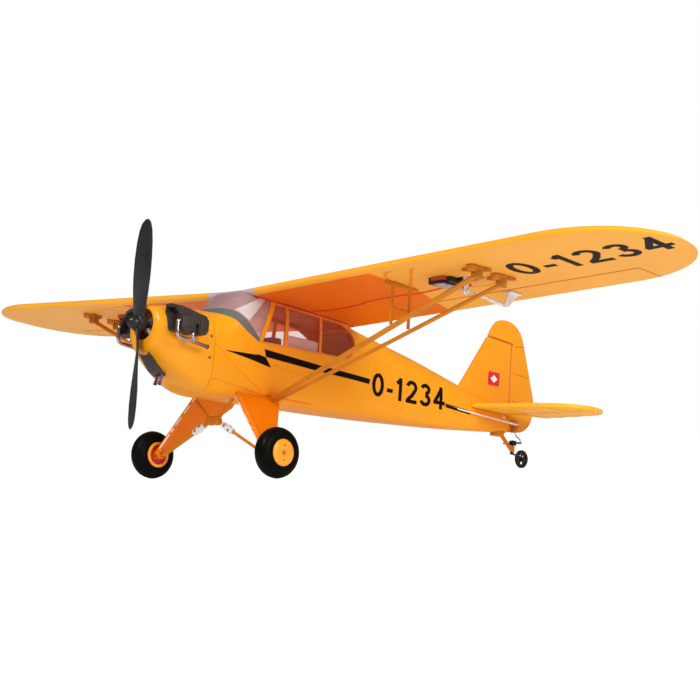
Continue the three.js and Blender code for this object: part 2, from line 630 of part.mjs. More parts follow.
// Two uprights from the main struts to the wing, a bar between them and a pad strip on the wing.
function juryStrut() {
  const bars = [];
  const uprights = [STRUT_FRONT_Y, STRUT_REAR_Y].map((y) => {
    const low = strutPoint(y, JURY_X);
    const high = V(JURY_X, low.y, wingBottom(JURY_X, low.y) - GAP);
    bars.push(new THREE.Vector3().lerpVectors(low, high, 0.45));
    return ovalBar(V(JURY_X, low.y, low.z + 2.2), high, 2.2, 1.8);
  });
  const y0 = strutPoint(STRUT_FRONT_Y, JURY_X).y;
  const y1 = strutPoint(STRUT_REAR_Y, JURY_X).y;
  const z = wingBottom(JURY_X, (y0 + y1) / 2);
  const strip = box(JURY_X - 1.2, JURY_X + 1.2, y0 - 6, y1 + 6, z - 2, z + 1);
  return cut(join(...uprights, rod(bars[0], bars[1], 0.8), strip), aboveWing());
}

// ---------------------------------------------------------------- tail
// Plate with rounded edges, thick across the axis of the prism and centred on "level".
function roundedPlate(prism, outline, level, thick, edge) {
  const half = thick / 2 - edge;
  return prism(outline, level - half, level + half,
    { bevelEnabled: true, bevelThickness: edge, bevelSize: edge, bevelOffset: -edge, bevelSegments: 2 });
}

function stabilizer() {
  const s = new THREE.Shape();
  s.moveTo(-89.6, STAB_REAR).lineTo(89.6, STAB_REAR);
  s.bezierCurveTo(90.5, 262, 82, 250, 62, 244).lineTo(8, 233);
  s.lineTo(-8, 233).lineTo(-62, 244).bezierCurveTo(-82, 250, -90.5, 262, -89.6, STAB_REAR);
  return roundedPlate(prismZ, s, STAB_Z, STAB_THICK, 0.7);
}

function elevator() {
  const s = new THREE.Shape();
  s.moveTo(3.6, ELEVATOR_Y).lineTo(89.4, ELEVATOR_Y).bezierCurveTo(89, 290, 82, 301, 66, 305.6);
  s.lineTo(17.5, 311).lineTo(5.2, 282).lineTo(-5.2, 282).lineTo(-17.5, 311).lineTo(-66, 305.6);
  s.bezierCurveTo(-82, 301, -89, 290, -89.4, ELEVATOR_Y);
  const nose = rod(V(-89.2, ELEVATOR_Y, STAB_Z), V(89.2, ELEVATOR_Y, STAB_Z), NOSE_R, 14);
  const hornSide = shapeOf([
    [ELEVATOR_Y - 1.6, -24.2], [ELEVATOR_Y - 1.6, -26.6], [ELEVATOR_Y + 1.2, -27],
    [ELEVATOR_Y + 8, STAB_Z - 0.5], [ELEVATOR_Y + 1, STAB_Z - 0.5]]);
  const horn = prismX(hornSide, ELEVATOR_PIN.x - 2.4, ELEVATOR_PIN.x - 1);
  return join(roundedPlate(prismZ, s, STAB_Z, ELEVATOR_THICK, 0.7), nose, horn);
}

const fin = () => roundedPlate(prismX, finOutline(0), 0, FIN_THICK, 0.7);

function rudder() {
  const s = new THREE.Shape();
  s.moveTo(RUDDER_Y, -29.4).lineTo(297.5, -28.4).bezierCurveTo(306, -26.5, 312, -20, 312.3, -10);
  s.lineTo(312.2, -1.9).lineTo(296.6, 42.5).bezierCurveTo(292, 53.5, 283, 57, 273, 56.6);
  s.bezierCurveTo(264, 56, 260, 50, 256.2, 41.9).lineTo(RUDDER_Y, 39.5);
  const plate = roundedPlate(prismX, s, 0, RUDDER_THICK, 0.6);
  return join(plate, rod(V(0, RUDDER_Y, -29.2), V(0, RUDDER_Y, 38), NOSE_R, 14));
}

const PIN_Z = -24;
const STEER_Z = -29.4;
function rudderHorn() {
  const base = prismX(shapeOf([[286.5, -29.8], [293.5, -27.6], [292.5, -19.8], [286.8, -19.4]]), 1.9, 3);
  const arm = prismZ(shapeOf([[2, 287.4], [2.4, 291], [RUDDER_PIN + 1.6, 286.2], [RUDDER_PIN + 1.8, 283.6],
    [RUDDER_PIN - 0.4, 283.2]]), PIN_Z - 1.9, PIN_Z - 0.9);
  const tab = prismZ(shapeOf([[1.9, 287], [2.4, 291], [STEER_PIN + 1.4, 285.8], [STEER_PIN + 1.4, 283.4],
    [STEER_PIN - 0.6, 283.2]]), STEER_Z, STEER_Z + 1);
  return join(base, arm, tab);
}

function tailLeg() {
  const bar = ovalBar(V(0, 274.5, -30), V(0, SWIVEL_Y - 1.5, -42.3), 3.4, 2.2);
  const socket = rod(V(0, SWIVEL_Y, -43.6), V(0, SWIVEL_Y, -39.6), 2, 14);
  const saddlePlate = roundBox(-3.4, 3.4, 267, 278, -33.6, -28, 1.2);
  const bore = rod(V(0, SWIVEL_Y, -50), V(0, SWIVEL_Y, -30), 0.7 + GAP, 12);
  return cut(join(bar, socket, saddlePlate), hullBetween(240, STERN_Y, -GAP), bore);
}

function tailSwivel() {
  const pin = rod(V(0, SWIVEL_Y, -46), V(0, SWIVEL_Y, -35), 0.7);
  const block = roundBox(-2.3, 2.3, SWIVEL_Y - 2, SWIVEL_Y + 2.8, -39, -35.4, 0.8);
  const bar = rod(V(-STEER_PIN - 1, SWIVEL_Y, -37.2), V(STEER_PIN + 1, SWIVEL_Y, -37.2), 0.7, 8);
  const stem = wire([V(0, SWIVEL_Y, -44.2), V(0.2, SWIVEL_Y + 0.6, -45.6), V(2.6, SWIVEL_Y + 4, -46.6),
    V(3.1, SWIVEL_Y + 8.6, -48), V(3.1, TAIL_WHEEL.y, TAIL_WHEEL.z)], 0.7, 9);
  const collar = rod(V(0, SWIVEL_Y, -44), V(0, SWIVEL_Y, -46), 1.6, 12);
  const axle = rod(V(3.4, TAIL_WHEEL.y, TAIL_WHEEL.z), V(-2.6, TAIL_WHEEL.y, TAIL_WHEEL.z), 0.7);
  return join(pin, block, bar, stem, collar, axle);
}

function tailWheel() {
  const h = TAIL_WHEEL.width / 2;
  const r = TAIL_WHEEL.r;
  const at = V(0, TAIL_WHEEL.y, TAIL_WHEEL.z);
  const profile = [[4.4, -h + 0.4], [5.6, -h], [6.5, -h + 0.5], [r, -0.7], [r, 0.7], [6.5, h - 0.5], [5.6, h],
    [4.4, h - 0.4], [4.4, -h + 0.4]];
  const rim = turned(profile, at, V(1, 0, 0), 20);
  const centre = rod(V(-h, at.y, at.z), V(h, at.y, at.z), 1.7, 14);
  const spokes = [0, 1, 2, 3, 4].map((i) => {
    const a = (2 * Math.PI * i) / 5 + 0.3;
    return ovalBar(at, V(0, at.y + 4.9 * Math.cos(a), at.z + 4.9 * Math.sin(a)), 1.6, 1.4, V(1, 0, 0), 4);
  });
  const bore = rod(V(-5, at.y, at.z), V(5, at.y, at.z), 0.7 + GAP, 12);
  return cut(join(rim, centre, ...spokes), bore);
}

function steeringLink() {
  const route = [[RUDDER_Y, STEER_Z - 0.5], [RUDDER_Y, STEER_Z - 2], [RUDDER_Y + 2, STEER_Z - 3.6],
    [SWIVEL_Y - 1, STEER_Z - 5], [SWIVEL_Y, -36.1]];
  return wire(route.map(([y, z]) => V(STEER_PIN, y, z)), 0.5, 14);
}

// ---------------------------------------------------------------- servos, arms and pushrods
const AXIS = V(1, 0, DIHEDRAL).normalize();        // aileron hinge and servo shaft direction, port side
const DOWN = V(DIHEDRAL, 0, -1).normalize();
const aileronShaft = V(ARM.x, ARM.y, wingBottom(ARM.x, ARM.y) + 1);
const aileronHinge = V(ARM.x, AILERON_Y, wingBottom(ARM.x, AILERON_Y));
const below = (p, distance) => p.clone().addScaledVector(DOWN, distance);
const outward = (p, distance) => p.clone().addScaledVector(AXIS, distance);

function lever(at, pin, axis, width, thick) {
  const half = axis.clone().multiplyScalar(thick / 2);
  const toPin = new THREE.Vector3().subVectors(pin, at);
  const side = new THREE.Vector3().crossVectors(axis, toPin).normalize();
  const bar = ovalBar(at, pin, width, thick, side, 8);
  const ends = [[at, width * 0.62], [pin, width * 0.45]];
  return join(bar, ...ends.map(([p, r]) => rod(p.clone().sub(half), p.clone().add(half), r, 12)));
}

function aileronServo() {
  const body = box(SERVO.x0, SERVO.x1, SERVO.y0, SERVO.y1, servoLow - SERVO.proud, servoLow + SERVO.depth);
  const boss = rod(outward(aileronShaft, -10), outward(aileronShaft, -3), 2.2, 12);
  return join(body, boss);
}

function aileronArm() {
  const at = outward(aileronShaft, -1.9);
  return lever(at, outward(below(aileronShaft, ARM.drop), -1.9), AXIS, 4, 1.4);
}

function aileronRod() {
  const a = below(aileronShaft, ARM.drop);
  const b = below(aileronHinge, ARM.drop);
  const pegs = [a, b].map((p) => rod(outward(p, -0.4), outward(p, 0.9), 0.9, 10));
  const sleeve = ovalBar(new THREE.Vector3().lerpVectors(a, b, 0.55), b, 2.6, 2, DOWN, 8);
  return join(rod(a, b, 0.75), sleeve, ...pegs);
}

function aileronHorn() {
  const p = outward(aileronHinge, 2);
  const tip = below(p, ARM.drop);
  const side = (k) => V(p.x, p.y + k, p.z - WING_SLOPE * k);
  const foot = (k) => below(side(k), GAP);
  const plate = [foot(1), foot(10), V(tip.x, tip.y + 1.8, tip.z - 0.6), V(tip.x, tip.y - 0.6, tip.z - 1.8),
    V(tip.x, tip.y - 1.9, tip.z)];
  const web = loft([-0.6, 0.6].map((k) => plate.map((q) => outward(q, k))));
  const pad = loft([-3, 3].map((k) => [[0.8, 0], [10.6, 0], [10.6, 1], [0.8, 1]]
    .map(([a, d]) => below(outward(side(a), k), GAP + d))));
  return join(web, pad);
}

function standingServo(x0, x1, y0, y1, z0, z1, shaft) {
  const body = box(x0, x1, y0, y1, z0, z1);
  const tabs = box(x0, x1, y0 - 3, y1 + 3, z1 - 5, z1 - 3.6);
  return join(body, tabs, shaft);
}

const RUDDER_SERVO_Y = 120;
const rudderServoZ = rudderRod(RUDDER_SERVO_Y);
const rudderServo = () => standingServo(-4.5, 4.5, 115, 135, rudderServoZ - 19, rudderServoZ - 4,
  rod(V(0, RUDDER_SERVO_Y, rudderServoZ - 6), V(0, RUDDER_SERVO_Y, rudderServoZ - 2.6), 2.2, 12));
const rudderArmAt = (x) => V(x, RUDDER_SERVO_Y, rudderServoZ - 1.6);
const rudderArm = () => lever(rudderArmAt(0), rudderArmAt(RUDDER_PIN), V(0, 0, 1), 4, 1.2);

const ELEVATOR_SERVO_Y = 92;
function elevatorServo() {
  const shaftZ = elevatorRod(ELEVATOR_SERVO_Y) + ELEVATOR_PIN.drop;
  const shaft = rod(V(-7, ELEVATOR_SERVO_Y, shaftZ), V(-4, ELEVATOR_SERVO_Y, shaftZ), 2.2, 12);
  return join(box(-6, 6, 84, 104, -34, -5), shaft);
}

function elevatorArm() {
  const z = elevatorRod(ELEVATOR_SERVO_Y);
  const x = ELEVATOR_PIN.x + 1.6;
  return lever(V(x, ELEVATOR_SERVO_Y, z + ELEVATOR_PIN.drop), V(x, ELEVATOR_SERVO_Y, z), V(1, 0, 0), 4, 1.2);
}

function controlRod(x, y0, y1, z) {
  const a = V(x, y0, z(y0));
  const b = V(x, y1, z(y1));
  const clevis = ovalBar(new THREE.Vector3().lerpVectors(a, b, 0.93), b, 2, 1.6, V(1, 0, 0), 8);
  return join(rod(a, b, 0.6, 8), clevis);
}

const rudderPushrod = () => controlRod(RUDDER_PIN, RUDDER_SERVO_Y, RUDDER_Y, rudderRod);
const elevatorPushrod = () => controlRod(ELEVATOR_PIN.x, ELEVATOR_SERVO_Y, ELEVATOR_Y, elevatorRod);

const battery = () => join(roundBox(-10, 10, -22, 26, -31, -20, 2), box(-4, 4, 26, 28, -28, -23));
const controlBoard = () => join(roundBox(-12, 12, 40, 72, -33.4, -31.8, 1.5), box(-7, 7, 46, 62, -32, -28));

// ---------------------------------------------------------------- assembly
const PAINT = { color: 0xf5a014, roughness: 0.45, metalness: 0 };
const STRUT_PAINT = { color: 0xb8690f, roughness: 0.5, metalness: 0 };
const DARK = { color: 0x3a3230, roughness: 0.55, metalness: 0 };
const WHITE = { color: 0xe8e8ea, roughness: 0.4, metalness: 0 };
const RUBBER = { color: 0x0c0d0c, roughness: 0.35, metalness: 0 };
const STEEL = { color: 0xa09a9c, roughness: 0.25, metalness: 1 };
const BLACK = { color: 0x111113, roughness: 0.5, metalness: 0 };
const CLEAR = { color: 0xd8c2c8, roughness: 0.08, metalness: 0, transparent: true, opacity: 0.4 };

const airframe = new THREE.Group();

function add(name, manifold, look) {
  const mesh = new THREE.Mesh(geometryOf(manifold), new THREE.MeshStandardMaterial(look));
  mesh.name = name;
  airframe.add(mesh);
}

function addPair(name, manifold, look) {
  add(`left_${name}`, manifold, look);
  add(`right_${name}`, mirrored(manifold), look);
}

const body = fuselage();
const SEAM = 0.05;                     // half the gap between the two fuselage halves
add('fuselage_left', body.intersect(box(SEAM, 60, -80, 300, -60, 60)), PAINT);
add('fuselage_right', body.intersect(box(-60, -SEAM, -80, 300, -60, 60)), PAINT);
add('nose_cowl', cowl(), PAINT);
add('belly_hatch', hatch(), PAINT);
add('cabin_glazing', glazing(), CLEAR);
add('wing', wing(), PAINT);
add('wing_brace', brace(0), BLACK);
addPair('aileron', aileron(), PAINT);
addPair('front_strut', strut(STRUT_FRONT_Y, 5, 2.6), STRUT_PAINT);
addPair('rear_strut', strut(STRUT_REAR_Y, 3.8, 2.2), STRUT_PAINT);
addPair('jury_strut', juryStrut(), STRUT_PAINT);

add('motor_mount', motorMount(), BLACK);
add('motor_stator', motorStator(), { color: 0xa8602c, roughness: 0.4, metalness: 0.8 });
add('motor_bell', motorBell(), STEEL);
add('propeller', propeller(), DARK);
add('prop_nut', spinner(), DARK);
add('battery', battery(), { color: 0x2b3a55, roughness: 0.4, metalness: 0 });
add('control_board', controlBoard(), { color: 0x1c5a34, roughness: 0.5, metalness: 0 });
addPair('cylinders', cylinders(), DARK);
addPair('exhaust', exhaust(), STEEL);
add('chin_intake', chinIntake(), DARK);

addPair('gear_leg', gearLeg(), PAINT);
add('gear_wire', gearWire(), STRUT_PAINT);
addPair('shock_cord', shockCord(), WHITE);
for (const [name, s] of SIDES) {
  add(`${name}_tyre`, tyre(s * WHEEL.x), RUBBER);
  add(`${name}_hub`, hub(s * WHEEL.x, s), PAINT);
}

add('fin', fin(), PAINT);
add('rudder', rudder(), PAINT);
add('stabilizer', stabilizer(), PAINT);
add('elevator', elevator(), PAINT);
add('rudder_horn', rudderHorn(), STRUT_PAINT);
add('tail_leg', tailLeg(), STRUT_PAINT);
add('tail_swivel', tailSwivel(), BLACK);
add('tail_wheel', tailWheel(), BLACK);
add('steering_link', steeringLink(), STEEL);

addPair('aileron_servo', aileronServo(), BLACK);
addPair('aileron_servo_arm', aileronArm(), WHITE);
addPair('aileron_pushrod', aileronRod(), WHITE);
addPair('aileron_horn', aileronHorn(), WHITE);
add('rudder_servo', rudderServo(), BLACK);
add('rudder_servo_arm', rudderArm(), WHITE);
add('rudder_pushrod', rudderPushrod(), WHITE);
add('elevator_servo', elevatorServo(), BLACK);
add('elevator_servo_arm', elevatorArm(), WHITE);
add('elevator_pushrod', elevatorPushrod(), WHITE);

// Standing attitude: the common tangent below the main wheels and the tail wheel is the ground.
const wheelbase = Math.hypot(TAIL_WHEEL.y - WHEEL.y, TAIL_WHEEL.z - WHEEL.z);
const slope = Math.atan2(TAIL_WHEEL.z - WHEEL.z, TAIL_WHEEL.y - WHEEL.y);
const groundAngle = slope + Math.asin((WHEEL.r - TAIL_WHEEL.r) / wheelbase);
const wheelHeight = WHEEL.z * Math.cos(groundAngle) - WHEEL.y * Math.sin(groundAngle);
airframe.rotation.x = -groundAngle;
airframe.position.set(0, 0, WHEEL.r - wheelHeight);

const model = new THREE.Group();
model.add(airframe);
model.updateMatrixWorld(true);
const bounds = new THREE.Box3().setFromObject(model, true);
airframe.position.y -= (bounds.min.y + bounds.max.y) / 2;

export default model;
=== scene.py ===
"""Looks of the radio-controlled foam airplane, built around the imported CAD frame."""
import json
import math

import bmesh
import bpy
import numpy as np
from mathutils import Matrix, Vector


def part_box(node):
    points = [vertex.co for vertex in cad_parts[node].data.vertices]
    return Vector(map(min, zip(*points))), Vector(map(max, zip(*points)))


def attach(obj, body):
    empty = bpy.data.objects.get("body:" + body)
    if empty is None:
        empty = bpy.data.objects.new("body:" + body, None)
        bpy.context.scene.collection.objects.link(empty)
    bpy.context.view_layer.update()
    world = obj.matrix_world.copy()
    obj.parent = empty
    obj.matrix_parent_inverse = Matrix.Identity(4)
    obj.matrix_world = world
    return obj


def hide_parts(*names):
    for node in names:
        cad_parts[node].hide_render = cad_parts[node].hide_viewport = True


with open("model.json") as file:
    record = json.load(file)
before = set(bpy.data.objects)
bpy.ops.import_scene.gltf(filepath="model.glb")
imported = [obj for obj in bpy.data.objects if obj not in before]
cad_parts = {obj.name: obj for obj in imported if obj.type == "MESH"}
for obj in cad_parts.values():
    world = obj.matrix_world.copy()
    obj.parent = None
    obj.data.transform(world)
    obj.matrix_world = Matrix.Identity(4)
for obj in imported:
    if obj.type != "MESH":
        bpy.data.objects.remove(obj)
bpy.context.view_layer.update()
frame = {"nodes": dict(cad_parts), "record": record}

# ---------------------------------------------------------------- driving dimensions
# Shapes are drawn in millimetres in the airplane's own axes: x to port, y aft from the wing's
# leading edge, z up from the thrust line. TO_ROW stands them on the wheels, in metres.
WHEEL_AT = (-4.8, -75.6)               # y, z of the main axle
TAIL_WHEEL_AT = (302.6, -48.5)
WHEEL_X, WHEEL_R, WHEEL_WIDE, HUB_R = 64, 16.1, 12.6, 8.6

HALF_SPAN, CHORD, WING_THICK = 325, 97, 7.6
WING_Z, WING_SLOPE, DIHEDRAL = 27.9, 0.064, 0.0459
TIP_START, LE_LEVEL, LE_FLAT = 258, 2.4, 3.4
AILERON_Y, AILERON_IN, AILERON_OUT = 75, 116, 274.6
AILERON_BEVEL = math.tan(math.radians(26))

COWL_FRONT, COWL_REAR, STERN_Y = -68, -29, 281
GAP, WALL, CABIN_WALL, SILL_Z = 0.3, 4, 1.2, -0.9
SHAFT_Y, PROP_R, MOTOR_R = -71.4, 67, 9.4
BEAM, CABIN_HALF = 30, 24              # beyond the hull's side, and just inside the cabin's

STAB_Z, STAB_REAR, ELEVATOR_Y = -15, 275.7, 277.8
FIN_REAR, RUDDER_Y = 282.75, 284.6
NOSE_R = 1.6                           # rounded nose of elevator and rudder
SIDES = (("left", 1), ("right", -1))

# y, half width, top, bottom, level of the widest line, squareness above and below it
HULL = np.array([
    [-68, 12.6, 10.4, -15.4, -2, 2.1, 2.1], [-66.5, 15.4, 11.9, -18, -3, 2.1, 2.1],
    [-63, 17.8, 12.6, -20.5, -4, 2.2, 2.2], [-57, 20.8, 13.6, -26, -5.5, 2.3, 2.4],
    [-48, 22.8, 14.2, -32, -7, 2.3, 2.8], [-38, 24, 14.6, -37, -9, 2.4, 3.4],
    [-29, 24.4, 14.9, -39.4, -10, 2.5, 4], [-21, 24.6, 15.2, -40.1, -11, 2.6, 4.4],
    [-4, 24.9, 29.5, -39.9, -12, 3.8, 4.6], [4, 25, 34.5, -39.8, -12, 4.6, 4.6],
    [45, 25, 34, -39.5, -12, 4.8, 4.6], [84, 24.6, 31.5, -39.2, -12, 4.6, 4.6],
    [97, 24, 24.2, -39, -12, 3.4, 4.6], [104, 23.4, 23, -38.9, -12, 3, 4.6],
    [130, 20.2, 18.8, -38.4, -12.5, 2.5, 4.4], [172, 15.2, 11, -37, -13.5, 2.3, 4],
    [200, 12, 4.7, -35.9, -16, 2.2, 3.6], [236, 8.4, -3.8, -33.6, -19, 2.2, 3.2],
    [265, 5.4, -10.6, -31.5, -21, 2.2, 3], [281, 4, -14.4, -30.4, -22, 2.2, 3]])


def middle(node):
    low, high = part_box(node)
    return (low + high) / 2


def standing():
    """Matrix from drawn millimetres to the row frame, from where the wheels stand."""
    wheel, tail = middle("left_tyre"), middle("tail_wheel")
    drawn = math.atan2(TAIL_WHEEL_AT[1] - WHEEL_AT[1], TAIL_WHEEL_AT[0] - WHEEL_AT[0])
    stands = math.atan2(tail.z - wheel.z, tail.y - wheel.y)
    turn = Matrix.Rotation(stands - drawn, 4, "X")
    axle = turn @ (Vector((0, *WHEEL_AT)) * 0.001)
    shift = Vector((0, wheel.y - axle.y, wheel.z - axle.z))
    return Matrix.Translation(shift) @ turn @ Matrix.Scale(0.001, 4)


TO_ROW = standing()


# ---------------------------------------------------------------- mesh tools
def shape(points, faces, fix=True):
    mesh = bpy.data.meshes.new("part")
    mesh.from_pydata([tuple(map(float, p)) for p in points], [], faces)
    obj = bpy.data.objects.new("part", mesh)
    bpy.context.scene.collection.objects.link(obj)
    if fix:
        edit(obj, lambda bm: bmesh.ops.recalc_face_normals(bm, faces=bm.faces))
    return obj


def edit(obj, change):
    bm = bmesh.new()
    bm.from_mesh(obj.data)
    change(bm)
    bm.to_mesh(obj.data)
    bm.free()
    return obj


def boolean(obj, tool, how="DIFFERENCE"):
    modifier = obj.modifiers.new("cut", "BOOLEAN")
    modifier.operation = how
    modifier.solver = "MANIFOLD"
    modifier.object = tool
    made = bpy.data.meshes.new_from_object(obj.evaluated_get(bpy.context.evaluated_depsgraph_get()))
    obj.modifiers.clear()
    obj.data = made
    bpy.data.objects.remove(tool)
    return obj


def cut(obj, *tools):
    for tool in tools:
        boolean(obj, tool)
    return obj


def keep(obj, *tools):
    for tool in tools:
        boolean(obj, tool, "INTERSECT")
    return obj


def fuse(obj, *others):
    for other in others:
        boolean(obj, other, "UNION")
    return obj


def together(*objs):
    """One object holding the separate bodies of all of them."""
    bm = bmesh.new()
    for o in objs:
        bm.from_mesh(o.data)
    bm.to_mesh(objs[0].data)
    bm.free()
    for o in objs[1:]:
        bpy.data.objects.remove(o)
    return objs[0]


def mirror(obj):
    obj.data.transform(Matrix.Scale(-1, 4, (1, 0, 0)))
    obj.data.flip_normals()
    return obj


def on_side(side, *objs):
    """Turns objects drawn to port into their mirror images where side is starboard."""
    if side < 0:
        for obj in objs:
            mirror(obj)


def loft(rings):
    n = len(rings[0])
    points = [p for ring in rings for p in ring]
    faces = [(i * n + j, i * n + (j + 1) % n, (i + 1) * n + (j + 1) % n, (i + 1) * n + j)
             for i in range(len(rings) - 1) for j in range(n)]
    last = (len(rings) - 1) * n
    faces += [tuple(range(n))[::-1], tuple(range(last, last + n))]
    return shape(points, faces)


PLACED = {"x": lambda a, b, c: (c, a, b), "y": lambda a, b, c: (a, c, b), "z": lambda a, b, c: (a, b, c)}


def prism(outline, axis, low, high):
    put = PLACED[axis]
    return loft([[put(a, b, c) for a, b in outline] for c in (low, high)])


def box(x0, x1, y0, y1, z0, z1):
    return prism([(x0, y0), (x1, y0), (x1, y1), (x0, y1)], "z", z0, z1)


def through(outline):
    """A cutter right through the hull from side to side; the outline is in y, z."""
    return prism(outline, "x", -BEAM, BEAM)


def oval(centre, half, start, end, steps=20):
    angles = np.radians(np.linspace(start, end, steps + 1))
    return [(centre[0] + half[0] * math.cos(a), centre[1] + half[1] * math.sin(a)) for a in angles]


def bezier(a, b, c, d, steps=14):
    a, b, c, d = (np.array(p, float) for p in (a, b, c, d))
    return [tuple(a * (1 - t) ** 3 + 3 * b * t * (1 - t) ** 2 + 3 * c * t * t * (1 - t) + d * t ** 3)
            for t in np.linspace(0, 1, steps + 1)[1:]]


def smooth_path(points, per=8):
    """Catmull-Rom points through a short list of places."""
    p = [np.array(q, float) for q in points]
    p = [2 * p[0] - p[1], *p, 2 * p[-1] - p[-2]]
    out = []
    for a, b, c, d in zip(p, p[1:], p[2:], p[3:]):
        for t in np.arange(per) / per:
            out.append(0.5 * (2 * b + (c - a) * t + (2 * a - 5 * b + 4 * c - d) * t * t
                              + (3 * b - a - 3 * c + d) * t ** 3))
    return [*out, p[-2]]


def sweep(path, section):
    """A closed skin round path; section(share) gives the outline there, as pairs."""
    path = [Vector(map(float, p)) for p in path]
    heading = [(path[min(i + 1, len(path) - 1)] - path[max(i - 1, 0)]).normalized()
               for i in range(len(path))]
    side = heading[0].orthogonal().normalized()
    rings = []
    for i, (at, ahead) in enumerate(zip(path, heading)):
        side = (side - ahead * side.dot(ahead)).normalized()
        up = ahead.cross(side)
        rings.append([at + side * a + up * b for a, b in section(i / (len(path) - 1))])
    return loft(rings)


def tube(path, radius, sides=16):
    ring = [(math.cos(2 * math.pi * i / sides), math.sin(2 * math.pi * i / sides)) for i in range(sides)]
    size = radius if callable(radius) else (lambda share: radius)
    return sweep(path, lambda share: [(size(share) * a, size(share) * b) for a, b in ring])


def turned(profile, at, direction, sides=64, closed=False):
    """profile: (radius, distance along direction) pairs, from the axis and back to it or closed."""
    turn = Vector((0, 0, 1)).rotation_difference(Vector(direction).normalized()).to_matrix()
    n = len(profile)
    points = []
    for i in range(sides):
        a = 2 * math.pi * i / sides
        points += [turn @ Vector((r * math.cos(a), r * math.sin(a), h)) + Vector(at) for r, h in profile]
    steps = n if closed else n - 1
    faces = [(i * n + j, i * n + (j + 1) % n, (i + 1) % sides * n + (j + 1) % n, (i + 1) % sides * n + j)
             for i in range(sides) for j in range(steps)]
    obj = shape(points, faces, fix=False)

    def close(bm):
        bmesh.ops.remove_doubles(bm, verts=bm.verts, dist=1e-4)
        bmesh.ops.dissolve_degenerate(bm, edges=bm.edges, dist=1e-5)
        bmesh.ops.recalc_face_normals(bm, faces=bm.faces)
    return edit(obj, close)


def button(at, out, radius, rim, crown, height, sides=20):
    """The low head of a screw, a rivet or an axle."""
    return turned([(0, 0), (radius, 0), (radius, rim), (crown, height), (0, height)], at, out, sides)


def soften(obj, width, angle=28, segments=2):
    """Rounds the edges sharper than angle."""
    def bevel(bm):
        bmesh.ops.remove_doubles(bm, verts=bm.verts, dist=1e-3)
        bmesh.ops.dissolve_limit(bm, angle_limit=math.radians(1.2), verts=bm.verts, edges=bm.edges)
        sharp = [e for e in bm.edges if len(e.link_faces) == 2
                 and e.calc_face_angle(0) > math.radians(angle)]
        bmesh.ops.bevel(bm, geom=sharp, offset=width, segments=segments, profile=0.6, affect="EDGES",
                        clamp_overlap=True)
    return edit(obj, bevel)


def finish_piece(obj, name, materials, body="root", replaces=(), slot="foam_yellow", angle=32):
    """Stands a drawn object in the row frame as a named piece of the airplane."""
    obj.name = name
    obj.data.name = name
    obj.data.transform(TO_ROW)
    put_on(obj, materials, angle)
    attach(obj, body)
    if replaces:
        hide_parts(*replaces)
    return obj


def put_on(obj, materials, angle):
    materials = materials if isinstance(materials, (list, tuple)) else [materials]
    zones = [face.material_index for face in obj.data.polygons]
    obj.data.materials.clear()
    for m in materials:
        obj.data.materials.append(m)
    if len(materials) > 1:
        obj.data.polygons.foreach_set("material_index", zones)
    obj.data.shade_smooth()
    obj.data.set_sharp_from_angle(angle=math.radians(angle))


def split(obj, at, across):
    """Divides the faces along a plane, so that a colour can change there."""
    def change(bm):
        geometry = bm.verts[:] + bm.edges[:] + bm.faces[:]
        bmesh.ops.bisect_plane(bm, geom=geometry, dist=0.001, plane_co=at,
                               plane_no=Vector(across).normalized())
    return edit(obj, change)


def paint_faces(obj, index, test):
    """Gives material number index to the faces whose drawn centre and normal pass the test."""
    for face in obj.data.polygons:
        if test(face.center, face.normal):
            face.material_index = index


# ---------------------------------------------------------------- materials
def nodes_of(name):
    material = bpy.data.materials.new(name)
    material.use_nodes = True
    tree = material.node_tree
    return material, tree, tree.nodes["Principled BSDF"]


def texture(tree, kind, scale, **values):
    node = tree.nodes.new(kind)
    node.inputs["Scale"].default_value = scale
    for key, value in values.items():
        node.inputs[key].default_value = value
    tree.links.new(coordinates(tree), node.inputs["Vector"])
    return node


def coordinates(tree):
    node = tree.nodes.get("places") or tree.nodes.new("ShaderNodeTexCoord")
    node.name = "places"
    return node.outputs["Object"]


def ramp(tree, source, stops):
    node = tree.nodes.new("ShaderNodeValToRGB")
    tree.links.new(source, node.inputs["Fac"])
    elements = node.color_ramp.elements
    while len(elements) < len(stops):
        elements.new(0.5)
    for element, (place, colour) in zip(elements, stops):
        element.position = place
        element.color = (*colour, 1) if len(colour) == 3 else colour
    return node.outputs["Color"]


def grey(value):
    return (value, value, value)


def bump(tree, source, strength, distance, normal=None):
    node = tree.nodes.new("ShaderNodeBump")
    node.inputs["Strength"].default_value = strength
    node.inputs["Distance"].default_value = distance
    tree.links.new(source, node.inputs["Height"])
    if normal is not None:
        tree.links.new(normal, node.inputs["Normal"])
    return node.outputs["Normal"]


def scaled(colour, k):
    return tuple(min(1.0, c * k) for c in colour)


